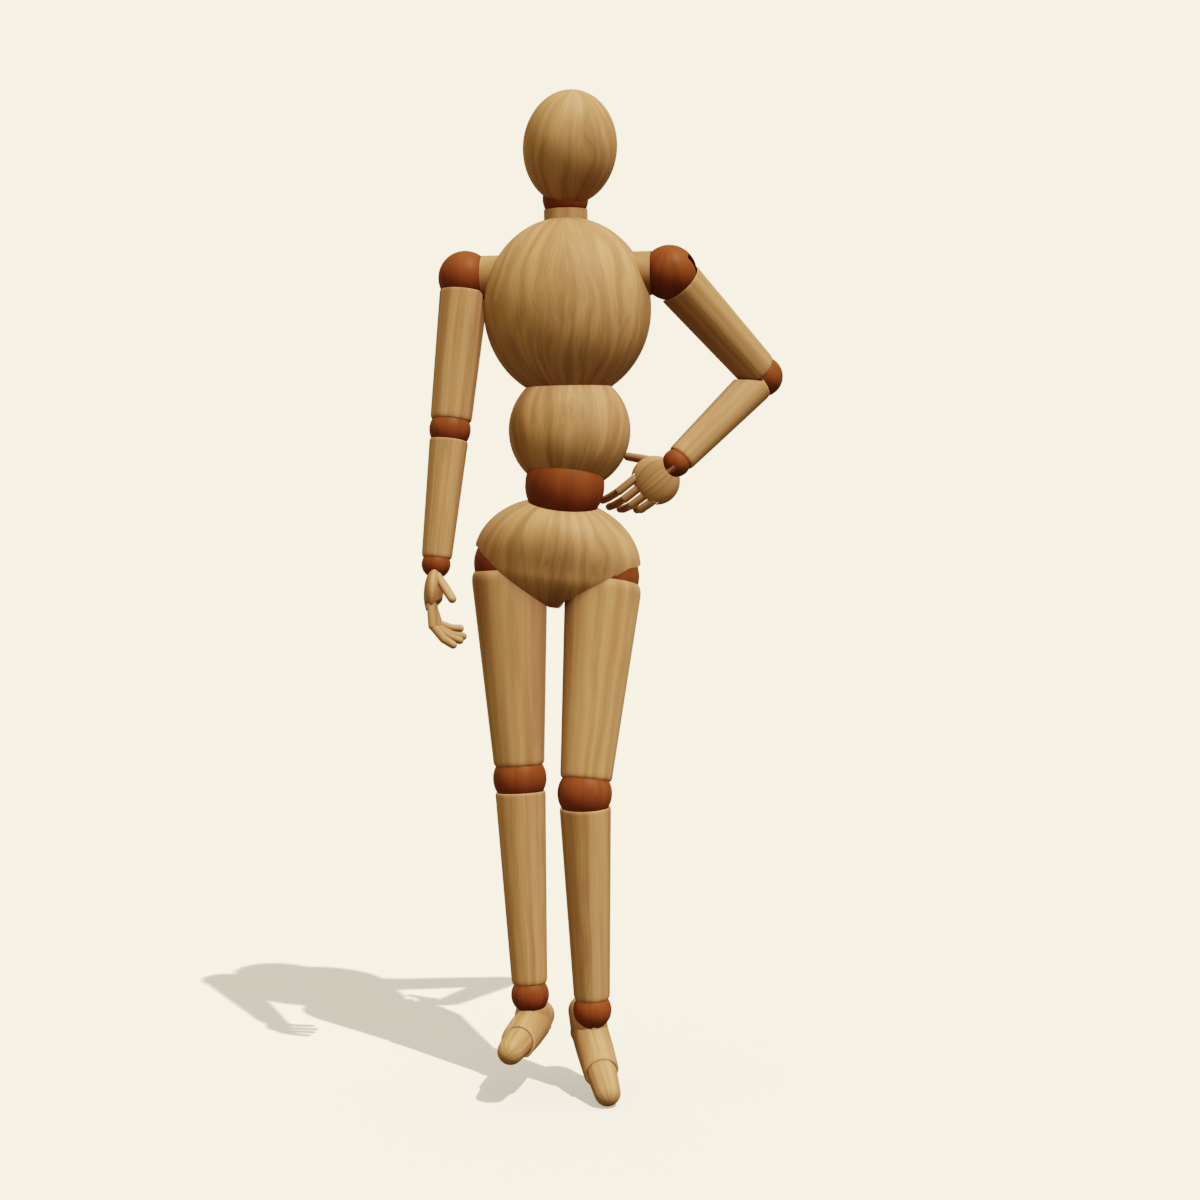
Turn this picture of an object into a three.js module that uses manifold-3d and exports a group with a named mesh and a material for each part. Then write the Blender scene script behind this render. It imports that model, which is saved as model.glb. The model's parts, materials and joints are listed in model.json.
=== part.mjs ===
// A jointed wooden figure for drawing practice, standing with its left hand on its hip.
// Millimetres, +Z up. The figure faces -Y and its left side is +X.
// The origin is the mouth of the stand socket in the back of the pelvis.
// Every limb is a turned piece with a cup at its end. A stained ball sits in the cup: the ball
// turns on a spigot in one piece, and the tongue of the next piece swings in a slot in the ball.

import * as THREE from 'three';
import { mergeVertices } from 'three/addons/utils/BufferGeometryUtils.js';
import Module from 'manifold-3d';

// Fit between pieces that move on each other, and how finely round pieces are faceted.
const clearance = 0.3;
const smallClearance = 0.22;
const ballClearance = 0.14;
const limbSides = 16;
const ballSides = 14;
const trunkSides = 24;
const trunkStep = 18;
const fingerSides = 6;
const arcStep = 24;

// Turned pieces of the trunk. Heights are from the joint that carries the piece.
const pelvis = { halfWidth: 33.4, halfDepth: 21.5, halfHeight: 26.1, rise: 2.8, underside: 16 };
const stomach = { radius: 23.9, aboveWaist: 22 };
const chest = { radius: 32.8, halfHeight: 35.5, aboveStomach: 47.4 };
const neck = { radius: 8.5, dowelRadius: 5, dowelLength: 12, aboveChest: 42.6 };
const head = { radius: 18.2, halfHeight: 21.9, aboveNeck: 19.8 };
const shoulderPlace = { out: 40.2, up: 13 };
const waistUp = 34;
const hipOut = 19.3;
const shoulderPeg = { radius: 8.5, length: 12 };
const chestPost = { radius: 5, length: 14 };
const torsoPlug = { radius: 12, floor: 1.1 };
const hipRod = { radius: 1.5, bite: 5 };
const standBore = { radius: 4.1, depth: 12.5, faceRadius: 5.4, up: 8, out: 19.6 };

// Limbs: length between joint centres, radius at both ends, and the wall left at each rim.
const upperArm = { length: 60.3, top: 9.5, bottom: 8.1, topLip: 0.35, bottomLip: 0.8, round: 1.2 };
const forearm = { length: 53.2, top: 7.5, bottom: 5.9, topLip: 0.4, bottomLip: 0.8, round: 1 };
const thigh = { length: 85.4, top: 15, bottom: 10.2, bottomLip: 0.8, round: 1.6, rim: 1.8 };
const shin = { length: 86, top: 9.95, bottom: 7.1, topLip: 0.45, bottomLip: 1, round: 1.6 };

// Foot: the main block runs from the heel to the toe joint, along the sole.
const foot = { down: 11.8, heelBack: 10.7, heelRadius: 6.9, midRadius: 7.3, frontRadius: 6.6, soleDrop: 5.6 };
const toes = { tipAhead: 8.6, tipRadius: 5.6 };
const toeJointAhead = 22.2;

// Hand: a flattened oval palm with a knuckle line, four fingers and a thumb.
const palm = { reach: 10.7, halfLength: 9.5, halfWidth: 10, halfThickness: 3.7, wristCut: 1.4 };
const knuckle = { down: 16.6, radius: 2, pin: 0.45, tongue: 1.1, eye: 1.15, bend: [-85, 6] };
const fingerRadius = 1.65;
const fingerJoint = { pin: 0.4, tongue: 0.8, eye: 0.95, bend: [-64, 4] };
const fingers = {
  index: { out: 5.9, proximal: 7.9, middle: 6.7, tip: 4.3 },
  middle: { out: 2.0, proximal: 8.1, middle: 6.9, tip: 4.3 },
  ring: { out: -1.9, proximal: 7.9, middle: 6.7, tip: 4.3 },
  little: { out: -5.7, proximal: 6.4, middle: 5.2, tip: 3.6 },
};
const tipBend = 19;
const thumb = { down: 5, out: 4.4, front: 1.4, length: 14.6, aim: 45, bend: [-72, -12] };

// Ball joints: ball radius, spigot radius and reach, tongue thickness, half-width of the tongue,
// pin radius, and the swing of the tongue that the slot leaves free, in degrees.
const joints = {
  neck: { ball: 8.9, spigot: 2.4, reach: 5, tongue: 2.6, eye: 2.6, pin: 1, bend: [-28, 28] },
  shoulder: { ball: 10.65, spigot: 2, reach: 4.5, tongue: 2.6, eye: 3, pin: 1.1, bend: [-8, 115] },
  elbow: { ball: 8.06, spigot: 2, reach: 5, tongue: 2.2, eye: 2.5, pin: 0.9, bend: [-106, 4] },
  wrist: { ball: 5.57, spigot: 1.4, reach: 4, tongue: 1.4, eye: 1.6, pin: 0.6, bend: [-52, 32] },
  hip: { ball: 13.8, tongue: 3, eye: 3.4, pin: 1.3, bend: [-14, 27] },
  knee: { ball: 10.6, spigot: 2.5, reach: 6, tongue: 2.8, eye: 3.2, pin: 1.2, bend: [-4, 98] },
  ankle: { ball: 7.5, spigot: 2, reach: 5, tongue: 2, eye: 2.3, pin: 0.8, bend: [-16, 46] },
  waist: { ball: 15.7, spigot: 3.6, reach: 7, tongue: 4.4, eye: 4.4, pin: 1.5, bend: [-40, 26] },
  torso: { ball: 23.9, tongue: 4, eye: 3.2, pin: 1.1, bend: [-21, 21] },
  toe: { ball: 5.9, tongue: 1.8, eye: 1.9, pin: 0.7, bend: [-14, 34] },
};

// Leg travel that the pelvis leaves free, in degrees, and how far up the pocket for the thigh goes.
const hipTravel = { forward: 23.5, back: 20, rightIn: 12, leftIn: 2 };
const hipPocketTop = 6.5;
const hangingArm = 5.4;

// How far the elbow and the knee fold.
const elbowFold = -104;
const kneeFold = 92;

// Rest pose, in degrees. A turn is about the piece's own length, a bend about the slot's pin.
const pose = {
  pelvis: { pitch: 8.45, roll: 7.37, yaw: -9.16 },
  waist: { turn: 12.1, bend: -20.4 },
  torso: { turn: -30.4, bend: 12.8, chestTurn: 20.3 },
  neck: { turn: 27.6, nod: 18 },
  right: {
    shoulder: { swing: -9, raise: 5.4 },
    elbow: { turn: 180, bend: 0.4 },
    wrist: { turn: -83.3, bend: -1 },
    hip: { swing: -10.4, raise: -10.6 },
    knee: { turn: 0.5, bend: -1 },
    ankle: { turn: -5.8, bend: 7.7 },
    toe: 0,
    knuckles: { index: -9, middle: -12, ring: -16, little: -22 },
    fingers: { index: -34, middle: -46, ring: -50, little: -50 },
    thumb: -29,
  },
  left: {
    shoulder: { swing: 36.4, raise: 35.1 },
    elbow: { turn: -42, bend: -98.9 },
    wrist: { turn: 257.3, bend: -24.1 },
    hip: { swing: -20.5, raise: 4 },
    knee: { turn: -19.3, bend: 15.4 },
    ankle: { turn: 41.6, bend: 33.2 },
    toe: 0,
    knuckles: { index: -7, middle: -9, ring: -14, little: -24 },
    fingers: { index: -30, middle: -32, ring: -40, little: -46 },
    thumb: -37,
  },
};

const wasm = await Module();
wasm.setup();

const rad = THREE.MathUtils.degToRad;

// A closed geometry as a solid. Triangles that collapse on the axis of a revolve are left out.
function solid(geometry) {
  const shape = geometry.clone();
  shape.deleteAttribute('normal');
  shape.deleteAttribute('uv');
  const merged = mergeVertices(shape, 1e-4);
  const position = merged.attributes.position;
  const index = merged.index.array;
  const kept = [];
  let volume = 0;
  const a = new THREE.Vector3();
  const b = new THREE.Vector3();
  const c = new THREE.Vector3();
  for (let i = 0; i < index.length; i += 3) {
    const [p, q, r] = [index[i], index[i + 1], index[i + 2]];
    if (p === q || q === r || r === p) continue;
    kept.push(p, q, r);
    a.fromBufferAttribute(position, p);
    b.fromBufferAttribute(position, q);
    c.fromBufferAttribute(position, r);
    volume += a.dot(b.cross(c));
  }
  if (volume < 0) kept.reverse();
  return new wasm.Manifold(new wasm.Mesh({
    numProp: 3,
    vertProperties: new Float32Array(position.array),
    triVerts: new Uint32Array(kept),
  }));
}

function geometryOf(body) {
  const mesh = body.getMesh();
  const geometry = new THREE.BufferGeometry();
  geometry.setAttribute('position', new THREE.BufferAttribute(new Float32Array(mesh.vertProperties), 3));
  geometry.setIndex(new THREE.BufferAttribute(new Uint32Array(mesh.triVerts), 1));
  geometry.computeVertexNormals();
  return geometry;
}

// Points [radius, height] on an arc about the axis. Angles run from +Z, in degrees.
function arc(radius, from, to, height = 0, step = arcStep) {
  const count = Math.max(2, Math.ceil(Math.abs(to - from) / step));
  const points = [];
  for (let i = 0; i <= count; i += 1) {
    const angle = rad(from + ((to - from) * i) / count);
    points.push([Math.abs(radius * Math.sin(angle)), height + radius * Math.cos(angle)]);
  }
  return points;
}

// A revolve about Z of a profile that starts and ends on the axis.
function revolve(profile, sides) {
  const points = profile.map(([radius, height]) => new THREE.Vector2(radius < 1e-6 ? 0 : radius, height));
  return new THREE.LatheGeometry(points, sides).rotateX(Math.PI / 2);
}

function sphere(radius, sides, step = arcStep) {
  return revolve(arc(radius, 180, 0, 0, step), sides);
}

function rod(radius, from, to, sides = 12) {
  return revolve([[0, from], [radius, from], [radius, to], [0, to]], sides);
}

const alongX = (geometry) => geometry.rotateY(Math.PI / 2);

// A flat plate in the YZ plane, centred on X, from an outline drawn in (y, z).
function plate(shape, thickness) {
  const geometry = new THREE.ExtrudeGeometry(shape, { depth: thickness, bevelEnabled: false, curveSegments: 4 });
  geometry.translate(0, 0, -thickness / 2);
  const across = new THREE.Matrix4().makeBasis(
    new THREE.Vector3(0, 1, 0),
    new THREE.Vector3(0, 0, 1),
    new THREE.Vector3(1, 0, 0),
  );
  return geometry.applyMatrix4(across);
}

// Direction of a hanging tongue after a bend about X, as (y, z).
const hanging = (angle) => [Math.sin(rad(angle)), -Math.cos(rad(angle))];

// Outline swept by a strip with a round end, hinged at the origin, over a range of bends.
function sweepOutline(halfWidth, reach, [low, high]) {
  const points = [];
  const add = (angle, side, along) => {
    const [y, z] = hanging(angle);
    points.push(new THREE.Vector2(y * along + z * side, z * along - y * side));
  };
  add(low, halfWidth, 0);
  add(low, halfWidth, reach);
  const count = Math.max(1, Math.ceil((high - low) / arcStep));
  for (let i = 1; i < count; i += 1) add(low + ((high - low) * i) / count, 0, reach * 1.1);
  add(high, -halfWidth, reach);
  add(high, -halfWidth, 0);
  const back = 4;
  const closing = 180 - (high - low);
  for (let i = 1; i < back; i += 1) {
    const [y, z] = hanging(high + 90 + (closing * i) / back);
    points.push(new THREE.Vector2(y * halfWidth, z * halfWidth));
  }
  return new THREE.Shape(points);
}

// A tongue that hangs from its eye at the origin down to a length, with the hole for its pin.
function tongueOf(joint, length, gap = clearance) {
  const outline = new THREE.Shape();
  outline.moveTo(-joint.eye, -length);
  outline.lineTo(joint.eye, -length);
  outline.lineTo(joint.eye, 0);
  outline.absarc(0, 0, joint.eye, 0, Math.PI, false);
  const hole = new THREE.Path();
  hole.absarc(0, 0, joint.pin + gap, 0, 2 * Math.PI, true);
  outline.holes.push(hole);
  return plate(outline, joint.tongue);
}

// The slot for a tongue, as a cutter.
function slotFor(joint, reach, gap = clearance) {
  return plate(sweepOutline(joint.eye + gap, reach, joint.bend), joint.tongue + 2 * gap);
}

// The pin that crosses the slot, held in both walls.
function pinAcross(joint, gap = clearance) {
  const half = joint.tongue / 2 + gap + 0.8;
  return alongX(rod(joint.pin, -half, half, 8));
}

// A ball with its spigot up and its slot below, and the pin across the slot.
function jointBall(joint) {
  const neckAngle = THREE.MathUtils.radToDeg(Math.asin(joint.spigot / joint.ball));
  const top = joint.ball + joint.reach;
  const profile = [...arc(joint.ball, 180, neckAngle), [joint.spigot, top], [0, top]];
  return solid(revolve(profile, ballSides)).subtract(solid(slotFor(joint, joint.ball * 1.2)))
    .add(solid(pinAcross(joint)));
}

// Radius of a faceted cup whose flats stay clear of the ball inside it.
function cupRadius(ball, sides, step = arcStep) {
  return (ball + ballClearance) / (Math.cos(Math.PI / sides) * Math.cos(rad(step / 2)));
}

// Height of a cup's rim from the ball's centre, where the wall is as thin as the lip.
const rimHeight = (cup, radius, lip) => Math.sqrt(cup ** 2 - (radius - lip) ** 2);

const rimAngle = (cup, rim) => THREE.MathUtils.radToDeg(Math.acos(rim / cup));

// The lower end of a limb: rounded rim, cup for the ball and bore for its spigot.
function lowerEnd(limb, joint) {
  const cup = cupRadius(joint.ball, limbSides);
  const rim = rimHeight(cup, limb.bottom, limb.bottomLip);
  const bore = joint.spigot + clearance;
  const top = -limb.length + joint.ball + joint.reach + clearance;
  const boreAngle = THREE.MathUtils.radToDeg(Math.asin(bore / cup));
  const edge = -limb.length + rim;
  const outer = limb.bottom - limb.bottomLip / 2;
  return [
    [limb.bottom, edge + limb.round],
    [(limb.bottom + outer) / 2, edge + limb.round / 3],
    [outer - limb.bottomLip / 8, edge],
    ...arc(cup, rimAngle(cup, rim), boreAngle, -limb.length),
    [bore, top],
    [0, top],
  ];
}

// The room that the lower end of the limb above needs when the joint is folded, on the fold's side.
function foldRelief(above, joint, fold) {
  const cup = cupRadius(joint.ball, limbSides);
  const rim = rimHeight(cup, above.bottom, above.bottomLip);
  const radius = (above.bottom + clearance) / Math.cos(Math.PI / limbSides);
  const room = [];
  for (const share of [0.6, 0.8, 1]) {
    room.push(solid(rod(radius, rim - 1.2 * clearance, 30, limbSides).rotateX(rad(-fold * share))));
  }
  return room[0].add(room[1]).add(room[2]);
}

// A limb with a cup and a tongue at its top, and a cup and a bore at its bottom.
function limbOf(limb, upper, lower, above, fold) {
  const cup = cupRadius(upper.ball, limbSides);
  const rim = rimHeight(cup, limb.top, limb.topLip);
  const profile = [
    ...arc(cup, 180, 180 - rimAngle(cup, rim)),
    [limb.top, -rim - limb.topLip],
    ...lowerEnd(limb, lower),
  ];
  return solid(revolve(profile, limbSides)).subtract(foldRelief(above, upper, fold))
    .add(solid(tongueOf(upper, cup + 1)));
}

// Trunk pieces.

function ellipsoidProfile(radius, halfHeight, from, to, step = 16) {
  return arc(1, from, to, 0, step).map(([r, z]) => [r * radius, z * halfHeight]);
}

// The room that the thigh needs, as a plain cylinder hanging from the hip's centre.
function thighPassage() {
  const radius = (thigh.top + 2 * clearance) / Math.cos(Math.PI / trunkSides);
  return revolve([[0, clearance - thigh.rim], [radius, clearance - thigh.rim], [radius, -50], [0, -50]], trunkSides);
}

function pelvisBody() {
  const shape = revolve(ellipsoidProfile(1, 1, 180, 0), trunkSides + 4)
    .scale(pelvis.halfWidth, pelvis.halfDepth, pelvis.halfHeight)
    .translate(0, 0, pelvis.rise);
  const below = new THREE.BoxGeometry(2 * pelvis.halfWidth, 2 * pelvis.halfDepth, pelvis.halfHeight)
    .translate(0, 0, -pelvis.underside - pelvis.halfHeight / 2);
  const waist = joints.waist;
  const spigotFloor = waistUp - waist.ball - waist.reach - clearance;
  let body = solid(shape).subtract(solid(below))
    .subtract(solid(sphere(cupRadius(waist.ball, trunkSides, trunkStep), trunkSides, trunkStep).translate(0, 0, waistUp)))
    .subtract(solid(rod(waist.spigot + clearance, spigotFloor, waistUp)))
    .subtract(solid(standSocket()));
  const cup = cupRadius(joints.hip.ball, trunkSides, trunkStep);
  const pocket = cupRadius(Math.hypot(thigh.top, thigh.rim), trunkSides, 15);
  for (const side of [-1, 1]) {
    const pocketAngle = THREE.MathUtils.radToDeg(Math.acos(hipPocketTop / pocket));
    const profile = [...arc(pocket, 180, pocketAngle, 0, 15), [0, hipPocketTop]];
    const room = solid(revolve(profile, trunkSides)).translate(side * hipOut, 0, 0);
    const ball = solid(sphere(cup, trunkSides, trunkStep)).translate(side * hipOut, 0, 0);
    body = body.subtract(room).subtract(ball);
    const inward = side < 0 ? hipTravel.rightIn : hipTravel.leftIn;
    const swings = 3;
    for (let i = 0; i <= swings; i += 1) {
      const swing = -hipTravel.forward + ((hipTravel.forward + hipTravel.back) * i) / swings;
      for (const raise of side < 0 ? [-inward, 0] : [-inward]) {
        const passage = thighPassage().rotateY(rad(-side * raise)).rotateX(rad(swing));
        body = body.subtract(solid(passage).translate(side * hipOut, 0, 0));
      }
    }
  }
  const bore = alongX(rod(hipRod.radius + clearance, -hipOut, hipOut));
  return body.subtract(solid(bore));
}

// The bore for a stand rod, with a flat face round its mouth, into the back of the pelvis.
function standSocket() {
  const mouth = standBore.out;
  const profile = [[0, mouth - standBore.depth], [standBore.radius, mouth - standBore.depth],
    [standBore.radius, mouth], [standBore.faceRadius, mouth], [standBore.faceRadius, mouth + 5], [0, mouth + 5]];
  return revolve(profile, 16).rotateX(-Math.PI / 2).translate(0, 0, standBore.up);
}

function hipBall(side) {
  const joint = joints.hip;
  const rodEnd = joint.ball - hipRod.bite - clearance;
  const slot = slotFor(joint, joint.ball * 1.2).rotateZ(-side * Math.PI / 2);
  const pin = pinAcross(joint).rotateZ(Math.PI / 2);
  const bore = alongX(rod(hipRod.radius + clearance, -joint.ball - 1, -rodEnd)).scale(side, 1, 1);
  return solid(sphere(joint.ball, ballSides + 2)).subtract(solid(slot)).add(solid(pin))
    .subtract(solid(bore));
}

function hipRodBody() {
  const half = hipOut - joints.hip.ball + hipRod.bite;
  return solid(alongX(rod(hipRod.radius, -half, half)));
}

function thighBody(side) {
  const cup = cupRadius(joints.hip.ball, trunkSides, trunkStep);
  const profile = [[0, -thigh.rim], [thigh.top - 0.4, -thigh.rim], [thigh.top, -thigh.rim - 0.8],
    ...lowerEnd(thigh, joints.knee)];
  const hollow = sphere(cup, trunkSides, trunkStep);
  const tongue = tongueOf(joints.hip, cup + 1.5).rotateZ(-side * Math.PI / 2);
  let body = solid(revolve(profile, limbSides)).subtract(solid(hollow)).add(solid(tongue));
  for (const raise of [-hipTravel.rightIn, -hipTravel.rightIn / 2, 0]) {
    const notch = alongX(rod(hipRod.radius + 2 * clearance, 9, 18, 8)).scale(-side, 1, 1).rotateY(rad(side * raise));
    body = body.subtract(solid(notch));
  }
  return body;
}

function waistBall() {
  const joint = joints.waist;
  const angle = THREE.MathUtils.radToDeg(Math.asin(joint.spigot / joint.ball));
  const bottom = -joint.ball - joint.reach;
  const profile = [[0, bottom], [joint.spigot, bottom], ...arc(joint.ball, 180 - angle, 0, 0, 22)];
  const slot = slotFor(joint, joint.ball * 1.2).rotateX(Math.PI);
  const bore = alongX(rod(joint.pin + smallClearance, -joint.ball - 1, joint.ball + 1));
  return solid(revolve(profile, trunkSides - 4)).subtract(solid(slot)).subtract(solid(bore));
}

function crossPin(joint, half) {
  return solid(alongX(rod(joint.pin, -half, half)));
}

function stomachBody() {
  const waist = joints.waist;
  const cup = cupRadius(waist.ball, trunkSides, trunkStep);
  const plugBore = torsoPlug.radius + clearance;
  const plugFloor = -joints.torso.eye - clearance - torsoPlug.floor - clearance;
  const tongue = tongueOf(waist, cup + 1.2).rotateX(Math.PI).translate(0, 0, -stomach.aboveWaist);
  return solid(sphere(stomach.radius, trunkSides, trunkStep))
    .subtract(solid(sphere(cup, trunkSides, trunkStep).translate(0, 0, -stomach.aboveWaist)))
    .subtract(solid(rod(plugBore, plugFloor, stomach.radius + 1, 20)))
    .add(solid(tongue));
}

function torsoPlugBody() {
  const joint = joints.torso;
  const floor = -joint.eye - clearance - torsoPlug.floor;
  const angle = THREE.MathUtils.radToDeg(Math.asin(torsoPlug.radius / stomach.radius));
  const profile = [[0, floor], [torsoPlug.radius, floor], ...arc(stomach.radius, angle, 0)];
  const slot = slotFor(joint, stomach.radius * 1.2).rotateX(Math.PI);
  const bore = alongX(rod(joint.pin + smallClearance, -torsoPlug.radius - 1, torsoPlug.radius + 1));
  return solid(revolve(profile, 20)).subtract(solid(slot)).subtract(solid(bore));
}

function torsoPostBody() {
  const joint = joints.torso;
  const foot = stomach.radius + 2 * clearance;
  return solid(tongueOf(joint, foot + 1).rotateX(Math.PI))
    .add(solid(rod(chestPost.radius, foot + 0.2, foot + chestPost.length)));
}

function chestBody() {
  const cup = cupRadius(stomach.radius, trunkSides, trunkStep);
  const centre = -chest.aboveStomach;
  const postTop = centre + stomach.radius + 3 * clearance + chestPost.length;
  const neckFloor = neck.aboveChest - joints.neck.ball - neck.dowelLength - clearance;
  let body = solid(revolve(ellipsoidProfile(chest.radius, chest.halfHeight, 180, 0), trunkSides))
    .subtract(solid(sphere(cup, trunkSides, trunkStep).translate(0, 0, centre)))
    .subtract(solid(rod(chestPost.radius + clearance, centre, postTop)))
    .subtract(solid(rod(neck.dowelRadius + smallClearance, neckFloor, chest.halfHeight + 1)));
  const socket = rod(shoulderPeg.radius + smallClearance, pegFloor() - clearance, chest.radius + 5, limbSides);
  for (const side of [-1, 1]) {
    const bore = alongX(socket.clone()).scale(side, 1, 1).translate(0, 0, shoulderPlace.up);
    body = body.subtract(solid(bore));
  }
  return body;
}

// Distance from the chest's centre line to the inner end of the shoulder peg.
function pegFloor() {
  return shoulderPlace.out - joints.shoulder.ball - shoulderPeg.length;
}

// The peg, drawn along +X from the chest's centre line at shoulder height.
function shoulderPegBody(side) {
  const joint = joints.shoulder;
  const cup = cupRadius(joint.ball, limbSides);
  const rim = rimHeight(cup, shoulderPeg.radius, 0.15);
  const out = shoulderPlace.out;
  const bore = joint.spigot + clearance;
  const boreAngle = THREE.MathUtils.radToDeg(Math.asin(bore / cup));
  const boreFloor = out - joint.ball - joint.reach - clearance;
  const profile = [
    [0, pegFloor()],
    [shoulderPeg.radius, pegFloor()],
    [shoulderPeg.radius, out - rim],
    ...arc(cup, 180 - rimAngle(cup, rim), 180 - boreAngle, out),
    [bore, boreFloor],
    [0, boreFloor],
  ];
  return solid(alongX(revolve(profile, limbSides)).scale(side, 1, 1));
}

function shoulderBall(side) {
  const joint = joints.shoulder;
  const angle = THREE.MathUtils.radToDeg(Math.asin(joint.spigot / joint.ball));
  const top = joint.ball + joint.reach;
  const profile = [...arc(joint.ball, 180, angle), [joint.spigot, top], [0, top]];
  const slot = slotFor(joint, joint.ball * 1.2).rotateZ(-side * Math.PI / 2);
  const pin = pinAcross(joint).rotateZ(Math.PI / 2);
  return solid(revolve(profile, ballSides).rotateY(-side * Math.PI / 2)).subtract(solid(slot)).add(solid(pin));
}

function upperArmBody(side) {
  const cup = cupRadius(joints.shoulder.ball, limbSides);
  const rim = rimHeight(cup, upperArm.top, upperArm.topLip);
  const profile = [
    ...arc(cup, 180, 180 - rimAngle(cup, rim)),
    [upperArm.top, -rim - upperArm.topLip],
    ...lowerEnd(upperArm, joints.elbow),
  ];
  const tongue = tongueOf(joints.shoulder, cup + 1).rotateZ(-side * Math.PI / 2);
  const relief = revolve(ellipsoidProfile(chest.radius + 2 * clearance, chest.halfHeight + 2 * clearance, 180, 0), 36)
    .translate(-side * shoulderPlace.out, 0, -shoulderPlace.up).rotateY(rad(side * hangingArm));
  const pegRim = rimHeight(cup, shoulderPeg.radius, 0.15);
  const pegRelief = alongX(rod(shoulderPeg.radius + 1.5 * clearance, pegRim - clearance, 20, limbSides))
    .scale(-side, 1, 1).rotateY(rad(side * hangingArm));
  return solid(revolve(profile, limbSides)).subtract(solid(relief)).subtract(solid(pegRelief))
    .add(solid(tongue));
}

// The neck, drawn from the centre of the neck ball.
function neckBody() {
  const joint = joints.neck;
  const cup = cupRadius(joint.ball, limbSides);
  const rim = rimHeight(cup, neck.radius, 0.5);
  const bore = joint.spigot + clearance;
  const boreAngle = THREE.MathUtils.radToDeg(Math.asin(bore / cup));
  const boreFloor = -joint.ball - joint.reach - clearance;
  const seat = chest.halfHeight * Math.sqrt(1 - (neck.radius / chest.radius) ** 2) - neck.aboveChest;
  const shoulder = chest.halfHeight - neck.aboveChest + clearance;
  const bottom = -joint.ball - neck.dowelLength;
  const inner = neck.dowelRadius;
  const profile = [
    [0, bottom],
    [inner, bottom],
    [inner, shoulder],
    [neck.radius, Math.max(seat + clearance, shoulder - 0.9)],
    [neck.radius, -rim],
    ...arc(cup, 180 - rimAngle(cup, rim), 180 - boreAngle),
    [bore, boreFloor],
    [0, boreFloor],
  ];
  return solid(revolve(profile, limbSides));
}

function headBody() {
  const joint = joints.neck;
  const cup = cupRadius(joint.ball, ballSides);
  const tongue = tongueOf(joint, cup + 1).rotateX(Math.PI);
  return solid(revolve(ellipsoidProfile(head.radius, head.halfHeight, 180, 0), trunkSides)
    .translate(0, 0, head.aboveNeck))
    .subtract(solid(sphere(cup, ballSides)))
    .add(solid(tongue));
}

// Feet.

// The rigid block of the foot, drawn from the ankle's centre with the toes towards -Y.
function footBody() {
  const ankle = joints.ankle;
  const cup = cupRadius(ankle.ball, ballSides);
  const back = foot.heelBack + foot.heelRadius;
  const front = -toeJointAhead - foot.frontRadius;
  const axis = -foot.down;
  const stations = [];
  for (const [r, z] of arc(foot.heelRadius, 0, 90, 0, 22)) stations.push([r, foot.heelBack + z]);
  stations.push([foot.midRadius, 0], [foot.midRadius, -12]);
  stations.push([foot.frontRadius + 0.2, -toeJointAhead], [foot.frontRadius, front], [0, front]);
  stations[0] = [0, back];
  const block = revolve(stations, ballSides).rotateX(Math.PI / 2).scale(1, -1, 1).translate(0, 0, axis);
  const instep = revolve([[0, -14], [7.4, -14], [7, -9], [5.6, -4.4], [0, -4.4]], ballSides);
  const sole = new THREE.BoxGeometry(30, 80, 20).translate(0, -10, axis - foot.soleDrop - 10);
  const toe = joints.toe;
  const frontCut = new THREE.BoxGeometry(30, 30, 40).translate(0, -15, 0)
    .rotateX(rad(-18)).translate(0, -toeJointAhead + 1.6, axis);
  const socket = sphere(cupRadius(toe.ball, ballSides), ballSides).translate(0, -toeJointAhead, axis);
  const toeTongue = tongueOf(toe, toe.ball + clearance + 0.8).rotateX(Math.PI / 2)
    .translate(0, -toeJointAhead, axis);
  return solid(block).add(solid(instep)).subtract(solid(sole)).subtract(solid(frontCut))
    .subtract(solid(socket)).subtract(solid(sphere(cup, ballSides)))
    .add(solid(tongueOf(ankle, cup + 1.2))).add(solid(toeTongue));
}

// The toes, drawn from the toe joint with the tip towards -Y.
function toesBody() {
  const toe = joints.toe;
  const profile = [...arc(toes.tipRadius, 180, 96, -toes.tipAhead, 22), ...arc(toe.ball, 88, 0, 0, 22)];
  const sole = new THREE.BoxGeometry(30, 60, 20).translate(0, 0, -foot.soleDrop - 10 + 0.4);
  const slot = slotFor(toe, toe.ball * 1.3).rotateX(Math.PI / 2);
  return solid(revolve(profile, ballSides).rotateX(-Math.PI / 2)).subtract(solid(sole))
    .subtract(solid(slot)).add(solid(pinAcross(toe)));
}

// Hands, drawn for the left hand from the wrist: fingers towards -Z, the palm's face towards -Y
// and the thumb towards +X. The right hand is the same, mirrored.

// Space that a finger sweeps about its knuckle, outside the knuckle's own barrel.
function fingerSweep(width, bend, inner) {
  const outer = 9;
  const spread = 48;
  const shape = new THREE.Shape();
  const points = [];
  const [low, high] = [bend[0] - spread, bend[1] + spread];
  const steps = 6;
  for (let i = 0; i <= steps; i += 1) {
    const [y, z] = hanging(low + ((high - low) * i) / steps);
    points.push(new THREE.Vector2(y * outer, z * outer));
  }
  for (let i = steps; i >= 0; i -= 1) {
    const [y, z] = hanging(low + ((high - low) * i) / steps);
    points.push(new THREE.Vector2(y * inner, z * inner));
  }
  shape.setFromPoints(points);
  return plate(shape, width);
}

function placeThumb(geometry) {
  return geometry.rotateY(rad(-thumb.aim)).translate(thumb.out, -thumb.front, -thumb.down);
}

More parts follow.
